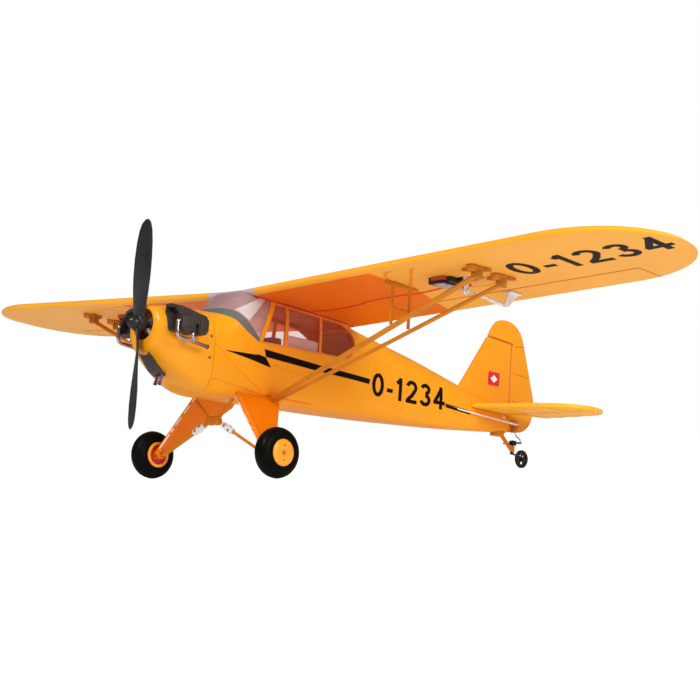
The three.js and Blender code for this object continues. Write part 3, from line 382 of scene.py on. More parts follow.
def moulded(name, colour, rough, cloud=0.06, cloud_scale=14, grain=900, grain_bump=0.15, beads=0, coat=0.0,
            metallic=0.0, specular=0.5, second=None):
    """Paint or plastic: clouded colour, uneven gloss and a fine moulded grain, with foam beads if asked."""
    material, tree, shader = nodes_of(name)
    clouds = texture(tree, "ShaderNodeTexNoise", cloud_scale, Detail=4.0, Roughness=0.55)
    light, dark = scaled(colour, 1 + cloud), second or scaled(colour, 1 - cloud)
    tree.links.new(ramp(tree, clouds.outputs["Fac"], [(0.35, dark), (0.65, light)]),
                   shader.inputs["Base Color"])
    specks = texture(tree, "ShaderNodeTexNoise", cloud_scale * 9, Detail=3.0)
    tree.links.new(ramp(tree, specks.outputs["Fac"], [(0.3, grey(rough - 0.05)), (0.7, grey(rough + 0.07))]),
                   shader.inputs["Roughness"])
    fine = texture(tree, "ShaderNodeTexNoise", grain, Detail=2.0)
    normal = bump(tree, fine.outputs["Fac"], grain_bump, 0.0001)
    if beads:
        cells = texture(tree, "ShaderNodeTexVoronoi", 330)
        normal = bump(tree, cells.outputs["Distance"], beads, 0.0002, normal)
    tree.links.new(normal, shader.inputs["Normal"])
    shader.inputs["Metallic"].default_value = metallic
    shader.inputs["Specular IOR Level"].default_value = specular
    shader.inputs["Coat Weight"].default_value = coat
    shader.inputs["Coat Roughness"].default_value = 0.12
    return material


def clear_sheet(name, colour, alpha, rough=0.06):
    """Tinted clear sheet: faint haze and moulding waves."""
    material, tree, shader = nodes_of(name)
    haze = texture(tree, "ShaderNodeTexNoise", 26, Detail=3.0)
    tree.links.new(ramp(tree, haze.outputs["Fac"], [(0.3, scaled(colour, 0.86)), (0.7, colour)]),
                   shader.inputs["Base Color"])
    tree.links.new(ramp(tree, haze.outputs["Fac"], [(0.3, grey(alpha - 0.06)), (0.7, grey(alpha + 0.06))]),
                   shader.inputs["Alpha"])
    waves = texture(tree, "ShaderNodeTexNoise", 60, Detail=1.0)
    tree.links.new(bump(tree, waves.outputs["Fac"], 0.12, 0.0004), shader.inputs["Normal"])
    shader.inputs["Roughness"].default_value = rough
    shader.inputs["Specular IOR Level"].default_value = 0.8
    return material


ORANGE = (0.90, 0.335, 0.006)
DEEP_TONE_AND_SHADE = (0.84, 0.150, 0.001)
foam = moulded("foam_paint", ORANGE, 0.36, cloud=0.03, beads=0.16, specular=0.2)
cowl_paint = moulded("cowl_paint", scaled(ORANGE, 0.98), 0.34, cloud=0.03, beads=0.12, coat=0.25,
                     specular=0.2)
# A paler copy of the orange paint for the undersides: painted light from below.
foam_under_painted_light = moulded("foam_paint_underside_painted_light", (0.93, 0.415, 0.040), 0.42, cloud=0.03, beads=0.16,
                     specular=0.28)
# Deeper orange for the wing's inner underside: partly the foam's own tone, partly painted shade near the
# fuselage.
foam_deep_and_painted_shade = moulded("foam_paint_deep_and_painted_shade", DEEP_TONE_AND_SHADE, 0.42, cloud=0.06, beads=0.16, specular=0.14)
# A paler, yellower copy of the orange paint for the tailplane and elevator: painted light.
foam_bright_painted_light = moulded("foam_paint_bright_painted_light", (1.0, 0.47, 0.018), 0.42, cloud=0.02, beads=0.12, specular=0.28)
foam_fin = moulded("foam_paint_fin", (0.88, 0.32, 0.006), 0.42, cloud=0.05, beads=0.15, specular=0.25)
# A lighter, yellower copy of the orange paint for the wing's top: painted highlight.
foam_top_painted_highlight = moulded("foam_paint_top_painted_highlight", (0.98, 0.42, 0.012), 0.46, cloud=0.02, beads=0.12, specular=0.22)
# Pale pink for dashes along the gear legs' front tubes: painted highlights.
leg_tube_painted_highlights = moulded("leg_tube_painted_highlight", (0.90, 0.62, 0.50), 0.35, cloud=0.12, cloud_scale=90)
# The gear legs' orange, darkened and reddened as painted shade.
leg_orange_and_painted_shade = moulded("leg_orange_and_painted_shade", (0.82, 0.195, 0.002), 0.38, cloud=0.05, specular=0.16)
screen_cap = moulded("windscreen_cap", (0.60, 0.42, 0.42), 0.3, cloud=0.06)
rim_paint = moulded("servo_rim_paint", (0.42, 0.060, 0.016), 0.5, cloud=0.15, cloud_scale=90)
# Darker lines along the foam's creases, ridges, ribs and hinge gaps: painted shade.
painted_ridge_shade = moulded("painted_ridge_shade", (0.88, 0.235, 0.012), 0.45, cloud=0.12, cloud_scale=60, specular=0.3)
soft_crease_shade = moulded("soft_painted_crease_shade", (0.72, 0.19, 0.012), 0.5, cloud=0.1, cloud_scale=60)
painted_crease_shade = moulded("painted_crease_shade", (0.60, 0.12, 0.004), 0.5, cloud=0.1, cloud_scale=60)
# Redder, darker orange under the wing inside the cabin: painted shade.
cabin_ceiling_painted_shade = moulded("cabin_ceiling_painted_shade", (0.85, 0.13, 0.030), 0.6, cloud=0.25, cloud_scale=40)
# Redder, darker orange for the cabin's inside faces: painted shade.
cabin_inside_painted_shade = moulded("inside_painted_shade", (0.98, 0.15, 0.020), 0.7, cloud=0.25, cloud_scale=30, beads=0.4)
strut_paint = moulded("strut_paint", (0.62, 0.205, 0.006), 0.46, cloud=0.08, cloud_scale=60, specular=0.16)
mound_paint = moulded("mound_paint", (0.62, 0.17, 0.006), 0.45, cloud=0.1, cloud_scale=60, specular=0.3)
lug_paint = moulded("lug_paint", (0.50, 0.17, 0.008), 0.45, cloud=0.12, cloud_scale=90, specular=0.35)
block_plastic = moulded("dark_block_plastic", (0.040, 0.030, 0.027), 0.42, cloud=0.3, cloud_scale=70,
                        grain=1500,
                        grain_bump=0.4, specular=0.4)
blade_plastic = moulded("blade_plastic", (0.018, 0.018, 0.019), 0.35, cloud=0.2, cloud_scale=60, grain=1500,
                        specular=0.4)
black_plastic = moulded("black_plastic", (0.010, 0.010, 0.011), 0.35, cloud=0.2, cloud_scale=80)
# Black for print, and for painted shade over the pushrod slots.
black_print_and_slit_shade = moulded("black_print_and_slit_shade", (0.006, 0.004, 0.003), 0.46, cloud=0.15, cloud_scale=50, specular=0.08)
rubber = moulded("tyre_rubber", (0.0025, 0.0035, 0.0025), 0.4, cloud=0.3, cloud_scale=40, grain=1300,
                 grain_bump=0.3,
                 specular=0.06)
hub_paint = moulded("hub_paint", (0.92, 0.36, 0.012), 0.34, cloud=0.03, cloud_scale=60, coat=0.3)
hub_red = moulded("hub_red", (0.62, 0.022, 0.030), 0.4, cloud=0.08, cloud_scale=80)
nylon = moulded("white_nylon", (0.80, 0.80, 0.83), 0.38, cloud=0.05, cloud_scale=90)
chrome = moulded("exhaust_chrome", (0.70, 0.62, 0.64), 0.16, cloud=0.10, cloud_scale=60, grain_bump=0.05,
                 metallic=1.0, second=(0.36, 0.26, 0.28))
steel = moulded("steel", (0.55, 0.55, 0.57), 0.25, cloud=0.08, cloud_scale=90, metallic=1.0)
dark_steel = moulded("dark_steel", (0.10, 0.09, 0.11), 0.35, cloud=0.2, cloud_scale=90, metallic=0.8)
stack_metal = moulded("stack_metal", (0.10, 0.05, 0.11), 0.3, cloud=0.25, cloud_scale=90, metallic=0.7)
servo_label = moulded("servo_face", (0.42, 0.38, 0.36), 0.45, cloud=0.05, cloud_scale=80)
lead_red = moulded("servo_lead", (0.72, 0.030, 0.010), 0.4, cloud=0.08, cloud_scale=90)
badge_red = moulded("badge_red", (0.66, 0.012, 0.035), 0.35, cloud=0.06, cloud_scale=90)
badge_white = moulded("badge_white", (0.85, 0.82, 0.82), 0.4, cloud=0.04, cloud_scale=90)
band_grey = moulded("band_grey", (0.125, 0.14, 0.135), 0.4, cloud=0.08, cloud_scale=40, specular=0.3)
rail_tan = moulded("rail_paint", (0.78, 0.24, 0.022), 0.45, cloud=0.08, cloud_scale=40)
# Dark red for the line under the wing's root on the flanks: painted shade.
wing_seat_painted_shade = moulded("wing_seat_painted_shade", (0.66, 0.03, 0.02), 0.45, cloud=0.08, cloud_scale=60)
pane_sheet = clear_sheet("cabin_clear_sheet", (1.0, 0.25, 0.14), 0.13)
# A paler clear sheet for the bright streak at the windscreen's corner: painted glare.
painted_glare_sheet = clear_sheet("windscreen_painted_glare_sheet", (0.95, 0.86, 0.84), 0.42, 0.3)
screen_sheet = clear_sheet("windscreen_clear_sheet", (0.64, 0.40, 0.39), 0.40)
# Near-white for a panel inside the cabin standing for the pale reflection in the middle window: painted
# reflection.
cabin_reflection_paint = moulded("cabin_painted_reflection", (1.0, 0.93, 0.92), 0.6, cloud=0.06, cloud_scale=60, beads=0.3)
cabin_dark = moulded("cabin_dark_part", (0.10, 0.05, 0.06), 0.5, cloud=0.2, cloud_scale=90)
copper = moulded("copper_wire", (0.62, 0.24, 0.08), 0.3, cloud=0.2, cloud_scale=200, metallic=0.9)
battery_wrap = moulded("battery_wrap", (0.03, 0.07, 0.20), 0.3, cloud=0.1, cloud_scale=60)
board_green = moulded("circuit_board", (0.015, 0.13, 0.06), 0.35, cloud=0.2, cloud_scale=120)
carbon = moulded("carbon_strip", (0.02, 0.02, 0.022), 0.35, cloud=0.3, cloud_scale=200)


# ---------------------------------------------------------------- airframe lines
def slopes(xs, ys):
    """Tangents of the curve through the stations that never overshoots them."""
    d = np.diff(ys) / np.diff(xs)
    m = np.zeros_like(ys)
    m[0], m[-1] = d[0], d[-1]
    for i in range(1, len(ys) - 1):
        if d[i - 1] * d[i] > 0:
            m[i] = 2 * d[i - 1] * d[i] / (d[i - 1] + d[i])
    return m


HULL_SLOPES = np.array([slopes(HULL[:, 0], HULL[:, k]) for k in range(1, 7)]).T


def hull_at(y):
    i = int(np.clip(np.searchsorted(HULL[:, 0], y) - 1, 0, len(HULL) - 2))
    h = HULL[i + 1, 0] - HULL[i, 0]
    t = (y - HULL[i, 0]) / h
    a, b = HULL[i, 1:], HULL[i + 1, 1:]
    ma, mb = HULL_SLOPES[i] * h, HULL_SLOPES[i + 1] * h
    return ((2 * t ** 3 - 3 * t * t + 1) * a + (t ** 3 - 2 * t * t + t) * ma
            + (3 * t * t - 2 * t ** 3) * b + (t ** 3 - t * t) * mb)


def hull_ring(y, inset, sides):
    half, top, bottom, level, square_top, square_low = hull_at(y)
    ring = []
    for i in range(sides):
        a = 2 * math.pi * i / sides
        c, s = math.cos(a), math.sin(a)
        power = 2 / (square_top if s >= 0 else square_low)
        height = (top - level if s >= 0 else level - bottom) - inset
        ring.append((math.copysign((half - inset) * abs(c) ** power, c), y,
                     level + math.copysign(height * abs(s) ** power, s)))
    return ring


def hull_x(y, z):
    """Half width of the hull at a height."""
    half, top, bottom, level, square_top, square_low = hull_at(y)
    if z > level:
        share, n = (z - level) / (top - level), square_top
    else:
        share, n = (level - z) / (level - bottom), square_low
    return half * (1 - min(abs(share), 1) ** n) ** (1 / n)


def hull(y0, y1, inset=0.0, step=3.0, sides=96):
    stops = [y0, *np.arange(math.ceil(y0 / step + 0.01) * step, y1 - 0.01, step), y1]
    nose = [y for y in (-67.7, -67.2, -66.6, -65.8, -64.5, -62, -59) if y0 < y < y1]
    return loft([hull_ring(y, inset, sides) for y in sorted({*stops, *nose})])


def planform(x):
    out = max(0.0, abs(x) - TIP_START) / (HALF_SPAN - TIP_START)
    half = CHORD / 2 * math.sqrt(max(0.0, 1 - out * out))
    return CHORD / 2 - half, CHORD / 2 + half


def wing_bottom(x, y):
    return WING_Z - WING_SLOPE * y + DIHEDRAL * abs(x)


def upper_skin(s):
    naca = 10 * (0.2969 * math.sqrt(s) - 0.126 * s - 0.3516 * s ** 2 + 0.2843 * s ** 3 - 0.1015 * s ** 4)
    return LE_LEVEL + (WING_THICK - 1.9) * naca - 1.4 * s


def lower_skin(s):
    t = 1 - min(1.0, s * CHORD / LE_FLAT)
    return LE_LEVEL * (1 - math.sqrt(1 - t * t))


RIB_PITCH, RIB_SINK = 32.0, 0.28
UPPER = [0.5 - 0.5 * math.cos(math.pi * i / 26) for i in range(27)]
LOWER = [1, 0.8, 0.6, 0.4, 0.2, 0.1, 0.05, 0.034, 0.026, 0.018, 0.012, 0.007, 0.003]


def wing_ring(x, grow=0.0, lift=0.0, ribs=0.0):
    y0, y1 = planform(x)
    scale = (y1 - y0) / CHORD
    base = wing_bottom(x, (y0 + y1) / 2) + CHORD / 2 * WING_SLOPE * scale + 1.6 * (1 - scale)
    sag = ribs * abs(math.sin(math.pi * x / RIB_PITCH)) ** 0.6 * min(1.0, scale * 1.2)

    def place(s, z, g):
        y = y0 + s * (y1 - y0) + (s - 0.5) * 2 * abs(g)
        return (x, y, base - WING_SLOPE * s * (y1 - y0) + z * scale + g)
    top = [place(s, upper_skin(s) - sag * (s > 0.06) * (s < 0.97) * min(1, (s - 0.06) * 12), grow)
           for s in UPPER]
    return [(x, y, z + lift) for x, y, z in top] + [place(s, lower_skin(s), -grow) for s in LOWER]


def wing_under(x, y):
    y0, y1 = planform(x)
    scale, s = (y1 - y0) / CHORD, min(1, max(0, (y - y0) / (y1 - y0)))
    base = wing_bottom(x, (y0 + y1) / 2) + CHORD / 2 * WING_SLOPE * scale + 1.6 * (1 - scale)
    return base - WING_SLOPE * s * (y1 - y0) + lower_skin(s) * scale


def wing_solid(ribs=RIB_SINK):
    tips = [TIP_START + (HALF_SPAN - TIP_START) * math.sin(math.radians(a)) for a in range(0, 88, 4)]
    half = sorted({*np.arange(0, TIP_START, RIB_PITCH / 8), *tips})
    stations = [-x for x in half[:0:-1]] + list(half)
    return loft([wing_ring(x, ribs=ribs) for x in stations])


def saddle(grow):
    return loft([wing_ring(x, grow, 30) for x in (-60, 0, 60)])


def rail_z(y):
    return wing_bottom(24, y) - 2.6


# ---------------------------------------------------------------- fuselage, cowl and cabin
def windows():
    front = [(10.2, SILL_Z), (28.6, SILL_Z), (28.9, rail_z(28.9)), (20.4, rail_z(20.4))]
    centre = [(31.6, SILL_Z), (59.6, SILL_Z), (59.9, rail_z(59.9)), (31.9, rail_z(31.9))]
    rear = [(62, SILL_Z), (86, SILL_Z - 0.2)]
    rear += bezier(rear[-1], (91.5, 1), (94.2, 4.5), (94, 10))
    rear += bezier((94, 10), (93.5, 15), (88.5, 18.5), (79, rail_z(79)))
    rear += [(62, rail_z(62))]
    return [front, centre, rear]


SCREEN = [(6.8, -0.9), (-3, 4.3), (-12, 11.2), (-20.6, 15.8), (-20.6, 42), (17.4, 42), (17.4, 27.4)]


def screen_outline(shrink=0.0):
    centre = Vector((3, 18))
    return [tuple(Vector(p) + (centre - Vector(p)).normalized() * shrink) for p in SCREEN]


def rudder_rod(y):
    return -14 + (y - 120) * (-10 / (RUDDER_Y - 120))


def elevator_rod(y):
    return -22 + (y - 132) * (-3 / (ELEVATOR_Y - 132))


def rod_slit(x0, x1, line, up, down, y0):
    return prism([(y0, line(y0) - down), (300, line(300) - down), (300, line(300) + up),
                  (y0, line(y0) + up)],
                 "x", x0, x1)


def groove(points, width=0.55, depth=0.45):
    """A shallow engraved line on both flanks of the hull; points are y, z."""
    tools = []
    for (ya, za), (yb, zb) in zip(points, points[1:]):
        d = Vector((yb - ya, zb - za)).normalized() * width / 2
        side = [(ya - d.y, za + d.x), (yb - d.y, zb + d.x), (yb + d.y, zb - d.x), (ya + d.y, za - d.x)]
        tools.append(through(side))
    return cut(fuse(*tools), hull(-70, 290, depth, 6, 96))


HATCH_X, HATCH_Y0, HATCH_Y1 = 13, 0.5, 50


def fin_outline(grow):
    return [(222 - grow, -4.6), (226, -1.4 + grow), (255.6 - grow, 41.1 + grow),
            (FIN_REAR + grow, 39.0 + grow),
            (FIN_REAR + grow, -10.6 - grow), (272, -10.6 - grow), (272, -12.9 - grow),
            (236 - grow, -12.9 - grow)]


def fuselage():
    body = hull(COWL_REAR + GAP / 2, STERN_Y, 0, 2.6, 112)
    cabin = keep(hull(-20, 96, CABIN_WALL, 4, 64), box(-30, 30, 3, 96, SILL_Z - 1, 45))
    cut(body, hull(COWL_REAR + 3, 212, WALL, 6, 64), cabin, saddle(GAP), through(screen_outline()))
    cut(body, *[through(w) for w in windows()])
    cut(body, rod_slit(7.6, 12, rudder_rod, 1.3, 1.3, 160), rod_slit(-11, -7.9, elevator_rod, 2.4, 1.3, 160))
    cut(body, box(-HATCH_X - GAP, HATCH_X + GAP, HATCH_Y0 - GAP, HATCH_Y1 + GAP, -50, -30))
    cut(body, prism(fin_outline(GAP), "x", -2, 2), box(-40, 40, 232.4, 300, STAB_Z - 1.9, STAB_Z + 1.9),
        box(-40, 40, 273, 300, -20, 0))
    cut(body, groove([(-29, -7.8), (-8, -22.4), (13, -34)], 0.7, 0.22),
        groove([(-30, -29.9), (12, -34.9), (60, -36)], 0.6, 0.3),
        groove([(17, -14.6), (44, -17.6), (62, -19.8)], 0.5, 0.2))
    for name, s in SIDES:
        half = shape([v.co for v in body.data.vertices], [tuple(p.vertices) for p in body.data.polygons],
                     fix=False)
        keep(half, box(min(s * 0.03, s * 60), max(s * 0.03, s * 60), -80, 300, -60, 60))
        # The cabin's inside faces get the redder, darker colour: painted shade.
        paint_faces(half, 1, lambda c, n: abs(c.y - 35) < 62 and abs(c.x) < hull_x(c.y, c.z) - 0.4
                    and c.z < hull_at(c.y)[1] - 1 and c.z > -36)
        finish_piece(half, f"fuselage_{name}_moulding", [foam, cabin_inside_painted_shade], replaces=[f"fuselage_{name}"])
    bpy.data.objects.remove(body)


def cowl():
    body = hull(COWL_FRONT, COWL_REAR - GAP / 2, 0, 2, 112)
    cut(body, hull(COWL_FRONT + 2.4, -20, 2, 4, 64), tube([(0, -80, 0), (0, -60, 0)], MOTOR_R + 0.8, 64))
    finish_piece(body, "nose_cowl_moulding", cowl_paint, replaces=["nose_cowl"])
    screws = []
    for s in (1, -1):
        for y, z in ((-31.8, -3.8), (-32.2, -17.5)):
            x = s * (hull_x(y, z) - 0.25)
            screws.append(button((x, y, z), (s, 0, 0), 0.95, 0.3, 0.6, 0.5))
    finish_piece(together(*screws), "cowl_screws", dark_steel, slot="steel_wire")


def belly_hatch():
    shell = cut(hull(HATCH_Y0 - 20, HATCH_Y1 + 20, 0, 3), hull(HATCH_Y0 - 21, HATCH_Y1 + 21, 2.4, 6))
    plate = keep(shell, box(-HATCH_X, HATCH_X, HATCH_Y0, HATCH_Y1, -50, -30))
    cut(plate, *[box(-8.5, 8.5, 5 + 5 * i, 6.4 + 5 * i, -50, -20) for i in range(5)])
    lips = [tube([(-8.4, 4.7 + 5 * i, -39.65), (8.4, 4.7 + 5 * i, -39.65)], 0.35, 10) for i in range(5)]
    finish_piece(together(plate, *lips), "belly_hatch_moulding", foam_under_painted_light, "belly_hatch", ["belly_hatch"])


def glazing():
    def skin(y0, y1, outer, inner):
        return cut(hull(y0, y1, outer, 1.5), hull(y0 - 1, y1 + 1, inner, 3))
    screen = keep(skin(-20.9, 20, 0, 0.9), through(screen_outline(0.6)))
    zone = [(5.6, SILL_Z - 0.6), (94.4, SILL_Z - 0.6), (94.4, 30), (15.8, 30)]
    panes = keep(skin(5, 95, CABIN_WALL + GAP, CABIN_WALL + GAP + 0.8), through(zone))
    web = [(5.6, SILL_Z + 0.6), (6.8, SILL_Z + 0.6), (16.9, 30), (15.6, 30)]
    step = keep(skin(0, 22, 0.1, CABIN_WALL + GAP + 0.8), through(web))
    sheet = cut(fuse(screen, panes, step), saddle(2 * GAP), box(-30, 30, -40, 120, -40, SILL_Z - 0.5))
    paint_faces(sheet, 1, lambda c, n: c.y < 9 + (c.z + 0.9) * 0.353)
    finish_piece(sheet, "cabin_glazing_sheet", [pane_sheet, screen_sheet], replaces=["cabin_glazing"],
                 slot="clear_glazing")
    foot = [(8.2, -1.2), (6.2, -1.4), (-3.4, 3.7), (-12.4, 10.6), (-21, 14.6), (-21, 19), (-16.4, 19),
            (-11, 16),
            (-3, 10.2), (4.4, 3.4)]
    band = keep(cut(hull(-20.7, 8.4, -0.2, 0.75), hull(-21, 9, 0.4, 0.75)), through(foot))
    finish_piece(band, "windscreen_foot_band", band_grey, slot="clear_glazing")


fuselage()
cowl()
belly_hatch()
glazing()


# ---------------------------------------------------------------- wing
def aileron_zone(side, grow):
    lean = 0 if grow > 0 else AILERON_BEVEL
    front = AILERON_Y + (-0.3 if grow > 0 else 0.25)
    rings = []
    for x in (AILERON_IN - grow, AILERON_OUT + grow):
        z = wing_bottom(x, AILERON_Y)
        rings.append([(side * x, front, z - 6), (side * x, front, z), (side * x, front + 9 * lean, z + 9),
                      (side * x, 110, z + 9), (side * x, 110, z - 6)])
    return loft(rings)


SERVO_X, SERVO_Y, SERVO_DEPTH = (152, 164.4), (30, 53), 5.2
ARM_X, ARM_Y = 174, 42
STRUT_X, JURY_X = 194, 127
SLANT_Y, SLANT_X, SLANT_LONG = 46, 17, 49    # the deep colour's edge leans inboard aft of SLANT_Y
SERVO_LOW = wing_bottom(SERVO_X[0], sum(SERVO_Y) / 2)


def servo_pocket(side):
    x0, x1 = SERVO_X[0] - GAP, SERVO_X[1] + GAP
    low, high = SERVO_LOW - 6, SERVO_LOW + SERVO_DEPTH + GAP
    main = box(x0, x1, SERVO_Y[0] - GAP, SERVO_Y[1] + GAP, low, high)
    slot = box(SERVO_X[1], ARM_X + 2.6, ARM_Y - 4.5, ARM_Y + 4.5, low, high)
    pocket = fuse(main, slot)
    return pocket if side > 0 else mirror(pocket)


def wing_colours(obj):
    """0 top, 1 underside outboard, 2 underside inboard, 3 cabin ceiling, 4 edge over the windscreen."""
    def under(c, n):
        return n.z < -0.5
    for s in (1, -1):
        for at, across in (((JURY_X * s, 0, 0), (1, 0, 0)), ((JURY_X * s, SLANT_Y, 0),
                                                             (SLANT_LONG * s, SLANT_X, 0))):
            split(obj, at, across)
    # Index 0, the top, takes the lighter copy of the paint as painted highlight; index 1, the underside, the
    # paler copy as painted light from below.
    paint_faces(obj, 1, under)
    # Index 2, the inner underside up to the jury struts, is the deeper orange: partly its own tone, partly
    # painted shade.
    paint_faces(obj, 2, lambda c, n: under(c, n) and c.y > 3
                and CABIN_HALF < abs(c.x) < min(JURY_X, JURY_X - SLANT_X * (c.y - SLANT_Y) / SLANT_LONG))
    # Index 3, under the wing inside the cabin, is painted shade.
    paint_faces(obj, 3, lambda c, n: abs(c.x) <= CABIN_HALF and under(c, n))
    paint_faces(obj, 4, lambda c, n: abs(c.x) <= CABIN_HALF and c.y < 5)


def wing():
    body = cut(wing_solid(), aileron_zone(1, 0.5), aileron_zone(-1, 0.5), servo_pocket(1), servo_pocket(-1))
    wing_colours(body)
    finish_piece(body, "wing_moulding", [foam_top_painted_highlight, foam_under_painted_light, foam_deep_and_painted_shade, cabin_ceiling_painted_shade, screen_cap],
                 replaces=["wing"])
    for name, s in SIDES:
        flap = keep(wing_solid(), aileron_zone(s, 0))
        wing_colours(flap)
        finish_piece(flap, f"{name}_aileron_moulding", [foam_top_painted_highlight, foam_under_painted_light], f"{name}_aileron",
                     [f"{name}_aileron"])


wing()


# ---------------------------------------------------------------- tail surfaces
def plate(outline, axis, level, thick, edge=1.1):
    body = prism(outline, axis, level - thick / 2, level + thick / 2)
    return soften(body, edge, 50, 3)


def ribs_for(lines, axis, level, wide, proud):
    """Ribs along straight lines; each section is an ellipse proud of the plate."""
    out = []
    for (a0, b0), (a1, b1) in lines:
        d = Vector((a1 - a0, b1 - b0)).normalized()
        rings = []
        for t in np.linspace(0, 1, 11):
            size = max(0.05, math.sin(math.pi * t)) ** 0.5
            at = Vector((a0, b0)).lerp(Vector((a1, b1)), t)
            ring = []
            for k in range(12):
                u = math.cos(k * math.pi / 6) * wide / 2 * size
                v = math.sin(k * math.pi / 6) * proud * (0.6 + 0.4 * size)
                ring.append(PLACED[axis](at.x - d.y * u, at.y + d.x * u, level + v))
            rings.append(ring)
        out.append(loft(rings))
    return out


def both(outline):
    """An outline over x > 0 closed by its mirror image."""
    return outline + [(-x, y) for x, y in reversed(outline)]


def stabilizer():
    edge = [(8, 233), (62, 244)] + bezier((62, 244), (82, 250), (90.5, 262), (89.6, STAB_REAR))
    body = plate(both(edge), "z", STAB_Z, 3.2, 1.2)
    lines = [((s * x, 236 + 0.12 * x), (s * (x + 1), STAB_REAR - 1)) for x in (24, 44, 64) for s in (1, -1)]
    finish_piece(together(body, *ribs_for(lines, "z", STAB_Z, 1.6, 1.85)), "stabilizer_moulding",
                 foam_bright_painted_light,
                 replaces=["stabilizer"])


def elevator():
    edge = [(5.2, 282), (17.5, 311)]
    x0, y0, x1, y1 = 17.5, 311, 66, 305.6
    for k in range(3):
        a, b = k / 3, (k + 1) / 3
        start = (x0 + a * (x1 - x0), y0 + a * (y1 - y0))
        end = (x0 + b * (x1 - x0), y0 + b * (y1 - y0))
        edge += bezier(start, (start[0] + 5, start[1] - 2.0), (end[0] - 5, end[1] - 2.0), end, 8)
    edge += bezier((66, 305.6), (82, 301), (89, 290), (89.4, ELEVATOR_Y)) + [(3.6, ELEVATOR_Y)]
    halves = [plate([(s * x, y) for x, y in edge], "z", STAB_Z, 2.6, 0.9) for s in (1, -1)]
    joiner = tube([(-89.2, ELEVATOR_Y, STAB_Z), (89.2, ELEVATOR_Y, STAB_Z)], NOSE_R, 24)
    lines = [((s * x, ELEVATOR_Y + 2), (s * (x + 1.5), 311.5 - 0.11 * x)) for x in (17, 33.6, 49.8, 65)
             for s in (1, -1)]
    horn = soften(prism([(276.2, -24.2), (276.2, -26.6), (279, -27), (285.8, -15.5), (278.8, -15.5)],
                        "x", -11.9, -10.5), 0.25, 40)
    pads = ribs_for(lines, "z", STAB_Z, 1.5, 1.6)
    foam_part = together(*halves, joiner, *pads)
    finish_piece(foam_part, "elevator_moulding", foam_bright_painted_light, "elevator", ["elevator"])
    finish_piece(horn, "elevator_horn", nylon, "elevator", slot="white_nylon")


def fin():
    body = plate(fin_outline(0), "x", 0, 3.4, 0.8)
    finish_piece(body, "fin_moulding", foam_fin, replaces=["fin"])
    # A dark strip at the fin's top, in the gap under the rudder's horn: painted shade.
    tongue = prism([(256.4, 40.4), (FIN_REAR - 0.6, 38.4), (FIN_REAR - 0.6, 39.4), (256.8, 41.7)], "x", -1,
                   1)
    finish_piece(tongue, "fin_top_gap_shade", painted_crease_shade)


def rudder():
    edge = [(RUDDER_Y, -29.4), (297.5, -28.4)]
    edge += bezier((297.5, -28.4), (306, -26.5), (312, -20), (312.3, -10)) + [(312.2, -1.9), (296.6, 42.5)]
    edge += bezier((296.6, 42.5), (292, 53.5), (283, 57), (273, 56.6))
    edge += bezier((273, 56.6), (264, 56), (260, 50), (256.2, 41.9)) + [(RUDDER_Y, 39.5)]
    body = plate(edge, "x", 0, 2.9, 0.9)
    post = tube([(0, RUDDER_Y, -29.2), (0, RUDDER_Y, 38)], NOSE_R, 24)
    lines = [((RUDDER_Y + 1.5, 20), (303.5, 16)), ((RUDDER_Y + 1.5, 0.5), (310.5, -5)),
             ((RUDDER_Y + 1.5, 36), (297, 37))]
    finish_piece(together(body, post, *ribs_for(lines, "x", 0, 1.4, 1.7)), "rudder_moulding", foam_fin,
                 "rudder",
                 ["rudder"])


stabilizer()
elevator()
fin()
rudder()


# ---------------------------------------------------------------- wheels and propeller
def wheels():
    for name, s in SIDES:
        x, h = s * WHEEL_X, WHEEL_WIDE / 2
        at = (x, *WHEEL_AT)
        profile = [(HUB_R, -h + 0.2)]
        for a in np.linspace(-90, 90, 41)[1:-1]:
            c, sn = math.cos(math.radians(a)), math.sin(math.radians(a))
            r = HUB_R + (WHEEL_R - HUB_R) * c ** 0.62
            r -= 0.22 * math.exp(-((abs(a) - 34) / 1.8) ** 2)
            r += 0.12 * math.exp(-(a / 1.6) ** 2) - 0.12
            profile.append((r, h * sn))
        profile += [(HUB_R, h - 0.2)]
        tyre = turned(profile, at, (s, 0, 0), 96, closed=True)
        finish_piece(tyre, f"{name}_tyre_rubber", rubber, f"{name}_wheel", [f"{name}_tyre"], "tyre_rubber",
                     50)
        r, w = HUB_R - 0.12, h + 0.9
        disc = turned([(1.35, -w + 3), (3, -w + 3), (3.4, -w + 2.2), (6.3, -w + 2.2), (6.5, -w + 0.6),
                       (6.9, -w),
                       (r - 0.4, -w), (r, -w + 0.4), (r, w - 1.1), (r - 0.4, w - 0.5), (r - 1.1, w - 0.1),
                       (4.6, w), (4.5, w - 0.14), (4.2, w - 0.14), (4.1, w), (2.6, w), (2.2, w - 0.3),
                       (1.35, w - 0.3)],
                      at, (s, 0, 0), 96, closed=True)
        cut(disc, *[tube([(x, WHEEL_AT[0], WHEEL_AT[1] + 4.6 * k),
                          (x + 10 * s, WHEEL_AT[0], WHEEL_AT[1] + 4.6 * k)],
                         0.6, 16) for k in (-1, 1)])
        paint_faces(disc, 1, lambda c, n: (c.x - x) * s < -w + 2.6
                    and math.hypot(c.y - at[1], c.z - at[2]) < 6.4)
        finish_piece(disc, f"{name}_hub_disc", [hub_paint, hub_red], f"{name}_wheel", [f"{name}_hub"],
                     "wheel_disc")
        cap = button((x + s * (w - 0.2), *WHEEL_AT), (s, 0, 0), 0.9, 0.2, 0.5, 0.45, 24)
        finish_piece(cap, f"{name}_axle_end", strut_paint, slot="strut_brown")


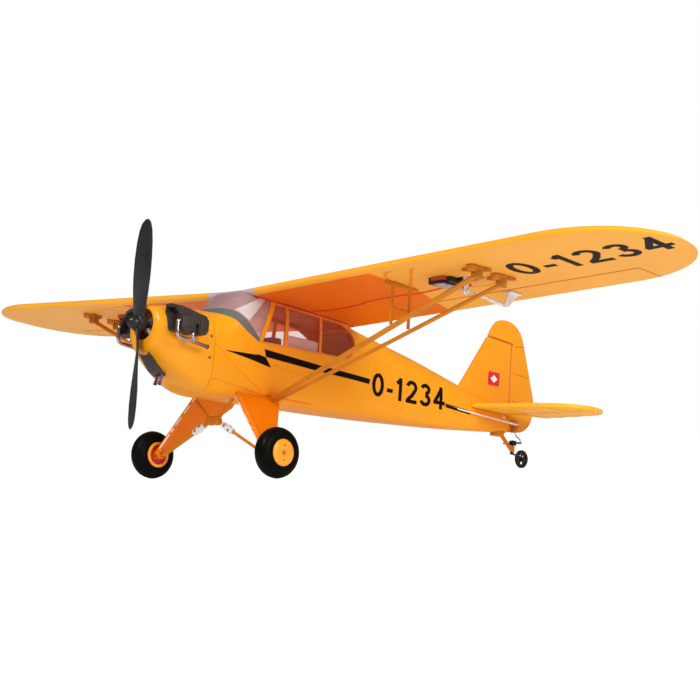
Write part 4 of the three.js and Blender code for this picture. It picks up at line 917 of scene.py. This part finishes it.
def propeller():
    stations = [(2, 7, 62), (6, 7.2, 52), (12, 8.4, 40), (20, 10.4, 31), (30, 12.2, 24), (42, 13.2, 17),
                (52, 12.6, 14),
                (60, 10.6, 12), (64, 8, 11), (66, 5.4, 10.5), (67, 2.4, 10)]
    z_all, chord_all, pitch_all = (np.array(c, float) for c in zip(*stations))
    blades = []
    for flip in (1, -1):
        rings = []
        for z in np.linspace(2, PROP_R - 0.05, 40):
            chord, pitch = np.interp(z, z_all, chord_all), math.radians(np.interp(z, z_all, pitch_all))
            thick = 0.1 * chord + 0.4 + 1.6 * math.exp(-z / 8)
            ring = []
            for k in range(20):
                b = 2 * math.pi * k / 20
                u = chord / 2 * math.cos(b) - 0.06 * chord
                v = thick / 2 * math.sin(b) + 0.05 * chord * (1 - (2 * u / chord) ** 2)
                p, q = u * math.cos(pitch) - v * math.sin(pitch), u * math.sin(pitch) + v * math.cos(pitch)
                ring.append((flip * p, SHAFT_Y + q, flip * z))
            rings.append(ring)
        blades.append(loft(rings))
    boss = turned([(1.5, -3), (4.8, -3), (5.4, -2.4), (5.4, 2.4), (4.8, 3), (1.5, 3)], (0, SHAFT_Y, 0),
                  (0, -1, 0), 48, True)
    finish_piece(together(boss, *blades), "propeller_blades", blade_plastic, "propeller", ["propeller"],
                 "dark_plastic")


wheels()
propeller()


# ---------------------------------------------------------------- registration, stripe and badge
def laid(outline_object, surface, step=4.0, lift=0.10, thick=0.16):
    """Lays a flat drawing, a closed solid in its own a, b plane, on surface(a, b, height)."""
    def slice_up(bm):
        low = [min(v.co[k] for v in bm.verts) for k in (0, 1)]
        high = [max(v.co[k] for v in bm.verts) for k in (0, 1)]
        for k in (0, 1):
            for at in np.arange(low[k] + step, high[k], step):
                point = Vector((at, 0, 0)) if k == 0 else Vector((0, at, 0))
                normal = Vector((1, 0, 0)) if k == 0 else Vector((0, 1, 0))
                bmesh.ops.bisect_plane(bm, geom=bm.verts[:] + bm.edges[:] + bm.faces[:], plane_co=point,
                                       plane_no=normal)
        for v in bm.verts:
            height = lift if v.co.z > 0 else lift - thick
            v.co = Vector(surface(v.co.x, v.co.y, height))
        bmesh.ops.recalc_face_normals(bm, faces=bm.faces)
    return edit(outline_object, slice_up)


def ribbon(points, width):
    """A flat closed strip along points, in its own a, b plane."""
    p = [Vector(q) for q in points]
    left, right = [], []
    for i, q in enumerate(p):
        d = (p[min(i + 1, len(p) - 1)] - p[max(i - 1, 0)]).normalized() * width / 2
        left.append((q.x - d.y, q.y + d.x))
        right.append((q.x + d.y, q.y - d.x))
    rings = [[(a[0], a[1], 0.1), (b[0], b[1], 0.1), (b[0], b[1], -0.1), (a[0], a[1], -0.1)]
             for a, b in zip(left, right)]
    return loft(rings)


def painted(face, runs, width, step=9, lift=0.08):
    """Thin painted lines along the runs, as one object on a face."""
    return together(*[laid(ribbon(run, width), face, step, lift) for run in runs])


DIGIT_HEAVY = 0.165
HALF_BAR = DIGIT_HEAVY / 2
DIGITS = {
    "0": (0.60, [oval((0.30, 0.5), (0.30 - HALF_BAR, 0.5 - HALF_BAR), 90, 270),
                 oval((0.30, 0.5), (0.30 - HALF_BAR, 0.5 - HALF_BAR), -90, 90)]),
    "-": (0.34, [[(0.02, 0.36), (0.32, 0.36)]]),
    "1": (0.36, [[(0.30 - HALF_BAR, 0), (0.30 - HALF_BAR, 1)],
                 [(0.02, 0.76), (0.14, 0.82), (0.22 - HALF_BAR / 2, 0.92)]]),
    "2": (0.60, [[*oval((0.30, 0.70), (0.30 - HALF_BAR, 0.30 - HALF_BAR), 170, -30), (0.34, 0.36),
                  (0.10, 0.12)],
                 [(0.02, HALF_BAR), (0.60, HALF_BAR)]]),
    "3": (0.60, [oval((0.29, 0.745), (0.27 - HALF_BAR, 0.255 - HALF_BAR), 165, -90),
                 oval((0.29, 0.28), (0.30 - HALF_BAR, 0.28 - HALF_BAR), 90, -165)]),
    "4": (0.62, [[(0.49 - HALF_BAR, 0), (0.49 - HALF_BAR, 1)], [(0, 0.29), (0.62, 0.29)],
                 [(0.05, 0.27), (0.43, 0.93)]])}


def digits(text, width, height, gap=0.15):
    """Bold plain digits as flat solids, width by height, lower left corner at 0, 0."""
    total = sum(DIGITS[c][0] for c in text) + gap * (len(text) - 1)
    glyphs, at = [], 0.0
    for c in text:
        wide, lines = DIGITS[c]
        bars = [ribbon(line, DIGIT_HEAVY) for line in lines]
        glyph = fuse(*bars)
        glyph.data.transform(Matrix.Translation((at, 0, 0)))
        glyphs.append(glyph)
        at += wide + gap
    text_object = together(*glyphs)
    text_object.data.transform(Matrix.Diagonal((width / total, height, 1, 1)))
    return text_object


REGISTRATION = "0-1234"
WING_TEXT_X, WING_TEXT_Y = 208, 54
SLIT_FRONT, SLIT_REAR = 201, 231


def flank(side, along=1.0, at=(0, 0)):
    """Surface of the hull's side; a runs aft on the port side and forward on the other."""
    def put(a, b, height):
        y, z = at[0] + along * a, at[1] + b
        return (side * (hull_x(y, z) + height), y, z)
    return put


def wing_face(side):
    """Underside of the wing; a runs outboard and b aft."""
    return lambda a, b, h: (side * a, b, wing_under(a, b) - h)


def plate_face(axis, side, level):
    """Flat face of a tail surface."""
    if axis == "x":
        return lambda a, b, h: (side * (level + h), a, b)
    return lambda a, b, h: (a, b, STAB_Z + side * (level + h))


def decals():
    for name, s, start in (("left", 1, 114.2), ("right", -1, 199.2)):
        text = laid(digits(REGISTRATION, 85, 16.4), flank(s, s, (start, -23)), 3.5)
        finish_piece(text, f"{name}_side_registration", black_print_and_slit_shade, slot="black_plastic")
    under = digits(REGISTRATION, 110, 24)
    face = wing_face(1)
    finish_piece(laid(under, lambda a, b, h: face(WING_TEXT_X + a, WING_TEXT_Y - b, h), 6),
                 "wing_registration", black_print_and_slit_shade, slot="black_plastic")
    for name, s in SIDES:
        bolt = prism([(-20.7, -10.9), (0.3, -13.9), (18.6, -17.1), (13.6, -10.9), (6.8, -9.9),
                      (5.1, -10.4)], "z", -0.1, 0.1)
        bar = prism([(12, -5.7), (65, -9.8), (111.6, -12.1), (110.8, -15.6), (60, -13.6), (13.7, -10.6)],
                    "z", -0.1, 0.1)
        stripe = together(laid(bolt, flank(s), 4), laid(bar, flank(s), 4))
        finish_piece(stripe, f"{name}_stripe", black_print_and_slit_shade, slot="black_plastic")
        badge = []
        for k, corner in enumerate(((268.4, 13), (258.6, 13), (258.6, 5.6), (268.4, 5.6))):
            badge += oval(corner, (1.6, 1.6), 90 * k, 90 * k + 90, 5)
        inner = [(259.4, 9.3), (263.5, 12.3), (267.6, 9.3), (263.5, 6.3)]
        finish_piece(prism(badge, "x", s * 1.6, s * 1.80), f"{name}_badge", badge_red)
        finish_piece(prism(inner, "x", s * 1.6, s * 1.92), f"{name}_badge_centre", badge_white,
                     slot="white_nylon")


def wing_lines():
    """Painted shade along the wing's moulded creases, ridges and aileron gap, and the red leads where they
    run in the wing.
    """
    for name, s in SIDES:
        face = wing_face(s)
        ridges = [smooth_path([(JURY_X + 1.5, 20), (130, 15), (136, 9), (143, 6.5)], 6),
                  smooth_path([(JURY_X + 3, 37), (133, 34), (146, 21), (154, 12.5), (159, 9.4)], 6)]
        finish_piece(painted(face, ridges, 2.0, lift=0.10), f"{name}_wing_ridge_shade", painted_ridge_shade)
        creases = [[(JURY_X, 45), (JURY_X - 9.6, 73)], smooth_path([(160, 57), (175, 60), (192, 53)], 6)]
        finish_piece(painted(face, creases, 0.7, lift=0.10), f"{name}_wing_crease_shade", soft_crease_shade)
        lead = smooth_path([(26, 51.4), (41, 55.2), (65, 54.8), (82, 51.2), (105, 51), (123, 52.6),
                            (150, 49.8)], 8)
        short = smooth_path([(165, 45), (173, 47), (184, 44.6)], 6)
        flat = laid(ribbon(lead, 1.3), face, 9, 0.45, 0.5)
        flat = together(flat, laid(ribbon(short, 1.2), face, 9, 0.4, 0.45))
        finish_piece(flat, f"{name}_servo_lead", lead_red, slot="steel_wire")
        line = [(AILERON_IN - 0.9, AILERON_Y - 1.0), (AILERON_OUT + 1.0, AILERON_Y - 1.0),
                (AILERON_OUT + 1.0, 95.6)]
        edges = [laid(ribbon(line[:2], 0.8), face, 12, 0.08), laid(ribbon(line[1:], 0.7), face, 12, 0.08)]
        finish_piece(together(*edges), f"{name}_aileron_gap_shade", painted_crease_shade)


def tail_lines():
    """Rib and hinge lines in darker paint on the tail surfaces: painted shade of the ribs and hinge gaps."""
    for name, s in SIDES:
        face = plate_face("x", s, 1.7)
        hinge = painted(face, [[(FIN_REAR - 0.5, -10), (FIN_REAR - 0.5, 38.4)]], 0.7)
        top = painted(face, [[(256.8, 40.7), (FIN_REAR - 0.4, 38.6)]], 0.6)
        finish_piece(together(hinge, top), f"{name}_fin_shade_lines", painted_crease_shade)
        runs = [[(RUDDER_Y + 1.8, 37.4), (297.6, 38.8)], [(RUDDER_Y + 1.8, 16.6), (304.6, 15)],
                [(RUDDER_Y + 1.8, -5), (311, -7.4)]]
        finish_piece(painted(plate_face("x", s, 1.45), runs, 0.6),
                     f"{name}_rudder_shade_lines", painted_crease_shade, "rudder")
    for name, s in (("top", 1), ("underside", -1)):
        runs = [[(k * x, y), (k * (x + 1.5), STAB_REAR - 1)] for x, y in ((24, 238), (46, 243), (67, 249))
                for k in (-1, 1)]
        runs += [[(k * 6, STAB_REAR - 0.9), (k * 88.4, STAB_REAR - 0.9)] for k in (-1, 1)]
        finish_piece(painted(plate_face("z", s, 1.6), runs, 0.6),
                     f"stabilizer_{name}_lines", painted_crease_shade)
        runs = [[(k * x, ELEVATOR_Y + 2), (k * (x + 1.5), 309.5 - 0.1 * x)] for k in (-1, 1)
                for x in (17.4, 33.6, 49.8)]
        finish_piece(painted(plate_face("z", s, 1.3), runs, 0.6),
                     f"elevator_{name}_lines", painted_crease_shade, "elevator")


def cabin_trim():
    """Painted frame round the cabin windows, the dark line of painted shade where the wing sits down, and
    painted glare on the windscreen.
    """
    def grown(outline, k):
        centre = sum((Vector(p) for p in outline), Vector((0, 0))) / len(outline)
        half = max(abs(p[0] - centre.x) for p in outline), max(abs(p[1] - centre.y) for p in outline)
        return [(centre.x + (p[0] - centre.x) * (1 + k / half[0]),
                 centre.y + (p[1] - centre.y) * (1 + k / half[1]))
                for p in outline]
    panes = windows()
    frame_zone = fuse(*[through(grown(w, 1.5)) for w in panes])
    skin = cut(hull(4, 97, -0.14, 1.5), hull(3, 98, 0.5, 1.5))
    trim = keep(skin, frame_zone)
    cut(trim, saddle(GAP), *[through(w) for w in panes])
    finish_piece(trim, "cabin_window_frames", rail_tan)
    for name, s in SIDES:
        # A dark red line along the flank just under the wing: painted shade where the wing meets the side.
        ys = np.linspace(2.4, 87, 24)
        line = laid(ribbon([(y, wing_bottom(25, y) - 0.75) for y in ys], 0.9), flank(s), 6, 0.3, 0.4)
        finish_piece(line, f"{name}_wing_seat_shade_line", wing_seat_painted_shade)
        # A paler clear strip over each corner of the windscreen: painted glare of reflected light.
        fan = prism([(15.4, 31.2), (13.4, 31), (-11, 17.2), (-2.4, 11)], "z", -0.1, 0.1)
        finish_piece(laid(fan, flank(s), 3, 0.25, 0.12), f"{name}_windscreen_painted_glare", painted_glare_sheet,
                     slot="clear_glazing")


def rod_slits():
    # Black strips over the pushrod slots in the flanks: painted shade of the slots.
    for name, s, line in (("rudder", 1, rudder_rod), ("elevator", -1, elevator_rod)):
        path = [(y, line(y) - 0.7) for y in np.linspace(SLIT_FRONT, SLIT_REAR, 9)]
        finish_piece(laid(ribbon(path, 1.9), flank(s), 5, 0.07), f"{name}_rod_slit", black_print_and_slit_shade,
                     slot="black_plastic")


def cabin_parts():
    finish_piece(soften(box(5, 19, 23, 32, -1.4, 4.6), 2, 40, 4), "cabin_block", cabin_dark,
                 slot="dark_plastic")
    # A pale panel behind the middle window, standing for a pale reflection in the clear sheet: painted
    # reflection.
    panel = prism([(40, -1.2), (71, -1.2), (71, 6.6), (66, 8.4), (41, 8.8)], "x", 10, 14)
    finish_piece(soften(panel, 2, 40, 5), "cabin_reflection_panel", cabin_reflection_paint)


decals()
rod_slits()
cabin_parts()
wing_lines()
tail_lines()
cabin_trim()


# ---------------------------------------------------------------- nose details
def cylinder_blocks():
    for name, s in SIDES:
        section = [(15, 12.7), (21, 12.6), (26.4, 11.2), (30.6, 6.6), (33.2, 3.6), (33.4, -2.6),
                   (31.4, -4.6), (20, -5), (14, 2)]
        body = prism(section, "y", -62.6, -41.8)
        lobes = [tube([(22, y, -2.6), (33, y, -2.6)], 3.4, 32) for y in (-58.2, -51.8, -45.4)]
        fuse(body, *lobes)
        cut(body, prism([(-64, 13.4), (-40, 6.2), (-40, 16), (-64, 16)], "x", 10, 40))
        hollow = [(16, 10.8), (24.6, 10), (29, 5.6), (31.4, 2.6), (31.6, -2.6), (29, -3.6), (16, -3.6)]
        opening = cut(prism(hollow, "y", -66, -57.4), hull(COWL_FRONT, -25, -1.5))
        cut(body, opening, tube([(29, -50.8, -0.8), (36, -50.8, -0.8)], 1.35, 24),
            box(30.6, 36, -51.5, -50.1, -7, -0.8), box(28, 36, -48.9, -48.5, -7, 2.6))
        cut(body, hull(COWL_FRONT, -25, -GAP))
        soften(body, 0.45, 30)
        on_side(s, body)
        finish_piece(body, f"{name}_cylinder_block", block_plastic, replaces=[f"{name}_cylinders"],
                     slot="dark_plastic",
                     angle=26)
        front = -64.4
        pipe = [(31, -63.2, 1.2), (31, front + 0.2, 0.6), (31, front, -0.8), (31, front, -5),
                (31, front + 0.7, -8.2), (31, front + 3.2, -9.6), (31, -52, -10.8), (31, -39.6, -12.3)]
        pipe = tube(smooth_path(pipe, 6), 1.2, 24)
        cut(pipe, tube([(31, -42.2, -11.97), (31, -39, -12.36)], 0.85, 20))
        rim = turned([(0.9, -0.5), (1.42, -0.4), (1.5, 0.3), (1.2, 0.55), (0.9, 0.5)], (31, -39.9, -12.26),
                     (0, 1, -0.12), 24, True)
        stub = tube(smooth_path([(31.8, -53, -5.8), (31.9, -52.8, -7.6), (31.5, -51.8, -9.4),
                                 (31, -50.4, -10.8)], 5), 1.15, 20)
        pipe = fuse(pipe, stub)
        on_side(s, pipe, rim)
        finish_piece(pipe, f"{name}_exhaust_pipe", chrome, replaces=[f"{name}_exhaust"],
                     slot="exhaust_chrome")
        finish_piece(rim, f"{name}_exhaust_rim", dark_steel, slot="exhaust_chrome")


def chin():
    side = [(-65.6, -14), (-66.6, -17.4), (-61.4, -23.6), (-57, -28.8), (-52, -31.4), (-50, -28), (-58, -15)]
    body = prism(side, "x", -5.6, 5.6)
    cut(body, hull(COWL_FRONT, -25, -GAP))
    soften(body, 0.4, 30)
    finish_piece(body, "chin_intake_box", block_plastic, replaces=["chin_intake"], slot="dark_plastic",
                 angle=26)
    stacks = []
    for x in (0, 4.4):
        stack = tube([(x, -53.2, -29.4), (x, -54.4, -34), (x, -55.2, -37)],
                     lambda t: 0.9 + 0.35 * (t > 0.6), 24)
        stacks.append(cut(stack, tube([(x, -54.8, -35.4), (x, -55.4, -37.8)], 0.8, 20)))
    finish_piece(together(*stacks), "chin_stacks", stack_metal, slot="dark_plastic")
    elbow = smooth_path([(5.2, -57.5, -22), (7.2, -57.2, -22.6), (7.6, -56.2, -24.2), (6.6, -54.8, -25.8)],
                        6)
    finish_piece(tube(elbow, 0.85, 20), "chin_elbow", nylon, slot="white_nylon")


# ---------------------------------------------------------------- landing gear details
CABANE = Vector((0, -5.2, -54))        # where the two lower rods meet
LEG_TUBE = Vector((20.5, -4.2, -36.5)), Vector((56, -7, -75.2))


def landing_gear():
    rods, blocks = [], []
    y, z = WHEEL_AT
    for name, s in SIDES:
        eye, bend = Vector((3 * s, *CABANE.yz)), Vector((48 * s, y, z + 1.2))
        rods += [tube([eye, (18.6 * s, -6.4, -40.9)], 1.1, 20), tube([eye, bend], 1.0, 20),
                 tube(smooth_path([bend, (49.5 * s, y, z + 0.5), (51.5 * s, y, z), (60 * s, y, z)], 5), 1.0,
                      20),
                 tube([(59 * s, y, z), (71.6 * s, y, z)], 1.0, 20)]
        blocks.append(turned([(0, -2.4), (2.3, -2.4), (3.0, -1.7), (3.2, 0), (3.0, 1.7), (2.3, 2.4),
                              (0, 2.4)],
                             (3 * s, *CABANE.yz), (0, 1, 0), 40))
        top, low = Vector((20.5, 0, -36.5)), Vector((56, 0, -75.2))
        down = (low - top).normalized()
        across = Vector((0, 1, 0)).cross(down)
        length = (low - top).length

        def leg_point(a, b, c):
            q = top + Vector((0, 1, 0)) * a + down * b + across * c
            return (q.x, q.y, q.z)
        outline = [(-4.5, 0), (28.5, 0), (28.5, 5.5), (0.5, length), (-8.5, length)]
        plate_body = loft([[leg_point(a, b, c) for a, b in outline] for c in (-1, 1)])
        soften(plate_body, 0.5, 40, 3)
        tube_body = tube(LEG_TUBE, 1.9, 28)
        foot = turned([(0, -1.9), (2.5, -1.9), (3, -1.4), (3, 1.4), (2.5, 1.9), (0, 1.9)], (55.1, y, z),
                      (1, 0, 0), 36)
        leg = fuse(plate_body, tube_body, foot)
        cut(leg, hull(-40, 60, -GAP), tube([(50, y, z), (60, y, z)], 1.3, 20))
        on_side(s, leg)
        finish_piece(leg, f"{name}_gear_leg_moulding", leg_orange_and_painted_shade, replaces=[f"{name}_gear_leg"])
        high, foot_end = (Vector((p.x * s, p.y, p.z)) for p in LEG_TUBE)
        # Pale dashes along each leg's front tube: painted highlights of light reflected on the tube.
        dashes = []
        for a, b in ((0.03, 0.10), (0.16, 0.30), (0.36, 0.50), (0.56, 0.62), (0.66, 0.90)):
            ends = [high.lerp(foot_end, t) + Vector((-0.8 * s, -1.75, -0.4)) for t in (a, b)]
            dashes.append(tube(ends, 0.55, 14))
        finish_piece(together(*dashes), f"{name}_leg_tube_painted_highlights", leg_tube_painted_highlights)
        start, way = eye.lerp(bend, 0.14), (bend - eye).normalized()
        cord = turned([(1.6, 0), (2.0, 0.5), (2.1, 1.2), (2.1, 5), (2.55, 5.5), (2.55, 7), (2.1, 7.5),
                       (2.1, 11), (1.8, 11.7),
                       (1.2, 12), (1.2, 0)], start, way, 40, True)
        finish_piece(cord, f"{name}_shock_cord_sleeve", nylon, replaces=[f"{name}_shock_cord"],
                     slot="white_nylon")
        rivets = []
        for k, lean in ((3.4, 0.35), (8.6, -0.25)):
            out = Vector((0.2 * s, -1, lean)).normalized()
            out = (out - way * out.dot(way)).normalized()
            rivets.append(button(start + way * k + out * 1.95, out, 0.75, 0.25, 0.4, 0.45))
        finish_piece(together(*rivets), f"{name}_shock_cord_rivets", dark_steel, slot="steel_wire")
    finish_piece(fuse(*rods, *blocks), "gear_wire_rods", strut_paint, replaces=["gear_wire"],
                 slot="strut_brown")


# ---------------------------------------------------------------- strut lugs and servos
def strut_fittings():
    for name, s in SIDES:
        lugs, mounds = [], []
        for y in (27, 49):
            z = wing_bottom(STRUT_X, y)
            star = [(-7.2, -5.4), (-2.2, -3.2), (3.6, -4.2), (3.4, -0.6), (7.4, 4.6), (2.4, 3.4),
                    (-3.2, 4.4), (-3.6, 0.6)]
            plate_body = prism([(STRUT_X + a, y + b) for a, b in star], "z", z - 2.4, z - 0.5)
            boss = turned([(0, 0), (3.1, 0), (3.4, 0.6), (3.4, 4.6), (2.9, 5.2), (0, 5.2)],
                          (STRUT_X, y, z - 0.4), (0, 0, -1), 8)
            ear = box(STRUT_X - 1.2, STRUT_X + 1.2, y - 3.6, y + 3.6, z - 6.4, z - 1)
            lugs.append(soften(fuse(plate_body, boss, ear), 0.3, 35))
            pin = turned([(0, -4.1), (0.9, -4.1), (1.1, -3.8), (1.1, 3.8), (0.9, 4.1), (0, 4.1)],
                         (STRUT_X, y, z - 4.6), (0, 1, 0), 20)
            lugs.append(pin)
            mound = turned([(0, -0.2), (3.4, -0.2), (3.3, 1.2), (2.8, 2.5), (1.7, 3.1), (0, 3.3)],
                           (STRUT_X + 0.8, y - 5.6, z), (0, 0, -1), 36)
            mounds.append(mound)
        lugs, mounds = together(*lugs), together(*mounds)
        on_side(s, lugs, mounds)
        finish_piece(lugs, f"{name}_strut_lugs", lug_paint, slot="strut_brown", angle=28)
        finish_piece(mounds, f"{name}_strut_mounds", mound_paint)


def servo_faces():
    for name, s in SIDES:
        x0, x1 = SERVO_X
        y0, y1 = SERVO_Y
        low = SERVO_LOW - 3
        face = [(x0 + 0.5, y0 + 3.5), (x0 + 4, y0 + 3.5), (x0 + 4, y0 + 0.6), (x1 - 0.5, y0 + 0.6),
                (x1 - 0.5, y1 - 0.6),
                (x0 + 0.5, y1 - 0.6)]
        label = prism(face, "z", low - 0.22, low + 0.2)
        step = soften(box(x0 + 0.3, x1 - 0.3, y0 + 0.3, y1 - 0.3, low + 0.1, low + 7), 0.3, 40)
        notch = soften(box(x1 - 0.4, x1 + 4.2, y0 + 2, y0 + 10, low + 0.8, low + 4), 0.3, 40)
        rim = prism([(x0 - 1.3, y0 + 1.6), (x0 + 3.4, y0 + 1.6), (x0 + 3.4, y0 - 1.4), (x1 + 1.2, y0 - 1.4),
                     (x1 + 1.2, y1 + 1.2),
                     (x0 - 1.3, y1 + 1.2)], "z", low + 1.9, low + 4.6)
        screws = [button((x, y, low - 0.15), (0, 0, -1), 0.8, 0.2, 0.4, 0.35, 18)
                  for x in (x0 + 1.6, x1 - 1.8) for y in (y0 + 5, y1 - 2)]
        parts = ((label, "face", servo_label, "black_plastic"),
                 (together(step, notch), "case", black_plastic, "black_plastic"),
                 (rim, "rim", rim_paint, "foam_yellow"),
                 (together(*screws), "screws", dark_steel, "steel_wire"))
        for part, word, material, slot in parts:
            on_side(s, part)
            finish_piece(part, f"{name}_servo_{word}", material, slot=slot)


cylinder_blocks()
chin()
landing_gear()
strut_fittings()
servo_faces()


# ---------------------------------------------------------------- carried-over CAD pieces
SLOT_OF = {s["node"]: s["material_slot"] for s in frame["record"]["subparts"]}
BODY_OF = {n: b for b, members in frame["record"]["behaviour"]["bodies"].items() for n in members}


def refine(names, material, width=0.25, angle=28):
    """The CAD pieces with their edges rounded and their facets shaded smooth."""
    for node in names:
        obj = bpy.data.objects.new(f"{node}_finish", frame["nodes"][node].data.copy())
        bpy.context.scene.collection.objects.link(obj)
        obj.data.transform(TO_ROW.inverted())
        if "custom_normal" in obj.data.attributes:
            obj.data.attributes.remove(obj.data.attributes["custom_normal"])
        edit(obj, lambda bm: bmesh.ops.remove_doubles(bm, verts=bm.verts, dist=2e-3))
        if width:
            soften(obj, width, angle)
        finish_piece(obj, f"{node}_finish", material, BODY_OF[node], [node], SLOT_OF[node], 40)


def pair(*names):
    return [f"{side}_{n}" for n in names for side, _ in SIDES]


refine(pair("front_strut", "rear_strut", "jury_strut"), strut_paint, 0.2, 50)
refine(["tail_leg", "rudder_horn"], strut_paint, 0.2, 50)
refine(["prop_nut"], black_plastic, 0.1, 50)
refine(["steering_link", "motor_bell"], steel, 0.1, 50)
refine(["motor_mount", "rudder_servo", "elevator_servo", "tail_swivel",
        "tail_wheel"] + pair("aileron_servo"),
       black_plastic, 0.2, 50)
refine(pair("aileron_servo_arm", "aileron_pushrod", "aileron_horn"), nylon, 0.15, 50)
refine(["rudder_servo_arm", "rudder_pushrod", "elevator_servo_arm", "elevator_pushrod"], nylon, 0.1, 50)
refine(["motor_stator"], copper, 0)
refine(["battery"], battery_wrap, 0.8)
refine(["control_board"], board_green, 0.2)
refine(["wing_brace"], carbon, 0)


# ---------------------------------------------------------------- stage, light and camera
ROOM_LIGHT, ROOM_MIRRORED = 0.36, 0.14
FLOOR_LIGHT, FLOOR_MIRRORED, FLOOR_SEEN = 0.46, 0.10, 0.82


def by_ray(tree, lights, mirrored, seen):
    """One strength for the light it gives, one in reflections and one behind the airplane."""
    ray = tree.nodes.new("ShaderNodeLightPath")
    link = None
    for output, extra in (("Is Camera Ray", seen - lights), ("Is Glossy Ray", mirrored - lights)):
        step = tree.nodes.new("ShaderNodeMath")
        step.operation = "MULTIPLY_ADD"
        step.inputs[1].default_value = extra
        step.inputs[2].default_value = lights
        tree.links.new(ray.outputs[output], step.inputs[0])
        if link:
            tree.links.new(link, step.inputs[2])
        link = step.outputs["Value"]
    return link


def stage():
    floor_mesh = prism([(-6000, -6000), (6000, -6000), (6000, 6000), (-6000, 6000)], "z", -20, 0)
    floor_mesh.data.transform(Matrix.Scale(0.001, 4))
    floor_mesh.name = "floor"
    material, tree, shader = nodes_of("pale_floor")
    mottle = texture(tree, "ShaderNodeTexNoise", 3, Detail=2.0)
    tree.links.new(ramp(tree, mottle.outputs["Fac"], [(0.3, grey(0.60)), (0.7, grey(0.62))]),
                   shader.inputs["Base Color"])
    shader.inputs["Roughness"].default_value = 0.9
    shader.inputs["Specular IOR Level"].default_value = 0.0
    shader.inputs["Emission Color"].default_value = (1, 1, 1, 1)
    tree.links.new(by_ray(tree, FLOOR_LIGHT, FLOOR_MIRRORED, FLOOR_SEEN), shader.inputs["Emission Strength"])
    floor_mesh.data.materials.append(material)


def lamp(name, at, aim, size, power, colour=(1, 1, 1)):
    data = bpy.data.lights.new(name, "AREA")
    data.shape = "DISK"
    data.size = size
    data.energy = power
    data.color = colour
    obj = bpy.data.objects.new(name, data)
    obj.location = at
    obj.rotation_euler = (Vector(aim) - Vector(at)).to_track_quat("-Z", "Y").to_euler()
    bpy.context.scene.collection.objects.link(obj)
    return obj


def light():
    world = bpy.data.worlds.new("studio")
    world.use_nodes = True
    tree = world.node_tree
    background = tree.nodes["Background"]
    tree.links.new(by_ray(tree, ROOM_LIGHT, ROOM_MIRRORED, 1.0), background.inputs["Strength"])
    background.inputs["Color"].default_value = (1, 1, 1, 1)
    bpy.context.scene.world = world
    lamp("key", (0.3, -1.5, 1.5), (0, 0, 0.1), 0.6, 20)
    lamp("side", (1.9, -0.1, 0.7), (0, 0.05, 0.08), 0.9, 18)
    lamp("nose_glint", (0.03, -0.61, 0.90), (0, -0.18, 0.1), 0.05, 0.5)
    strip = lamp("windscreen_strip", (0.748, 0.199, 0.536), (0.023, -0.118, 0.107), 0.05, 0.55)
    strip.data.shape = "RECTANGLE"
    strip.data.size_y = 0.40
    bpy.context.scene.view_settings.view_transform = "Standard"


CAMERA_AT = Vector((0.83266, -0.80110, 0.01750))
CAMERA_LOOK = Vector((-0.72056, 0.69077, 0.06027))
CAMERA_UP = Vector((0.05686, -0.02777, 0.99800))
CAMERA_LENS, SENSOR = 84.3, 36


def camera():
    data = bpy.data.cameras.new("camera")
    data.lens, data.sensor_width = CAMERA_LENS, SENSOR
    data.clip_start, data.clip_end = 0.01, 50
    obj = bpy.data.objects.new("camera", data)
    right = CAMERA_LOOK.cross(CAMERA_UP).normalized()
    up = right.cross(CAMERA_LOOK).normalized()
    turn = Matrix((right, up, -CAMERA_LOOK.normalized())).transposed()
    obj.matrix_world = Matrix.Translation(CAMERA_AT) @ turn.to_4x4()
    bpy.context.scene.collection.objects.link(obj)
    bpy.context.scene.camera = obj


stage()
light()
camera()
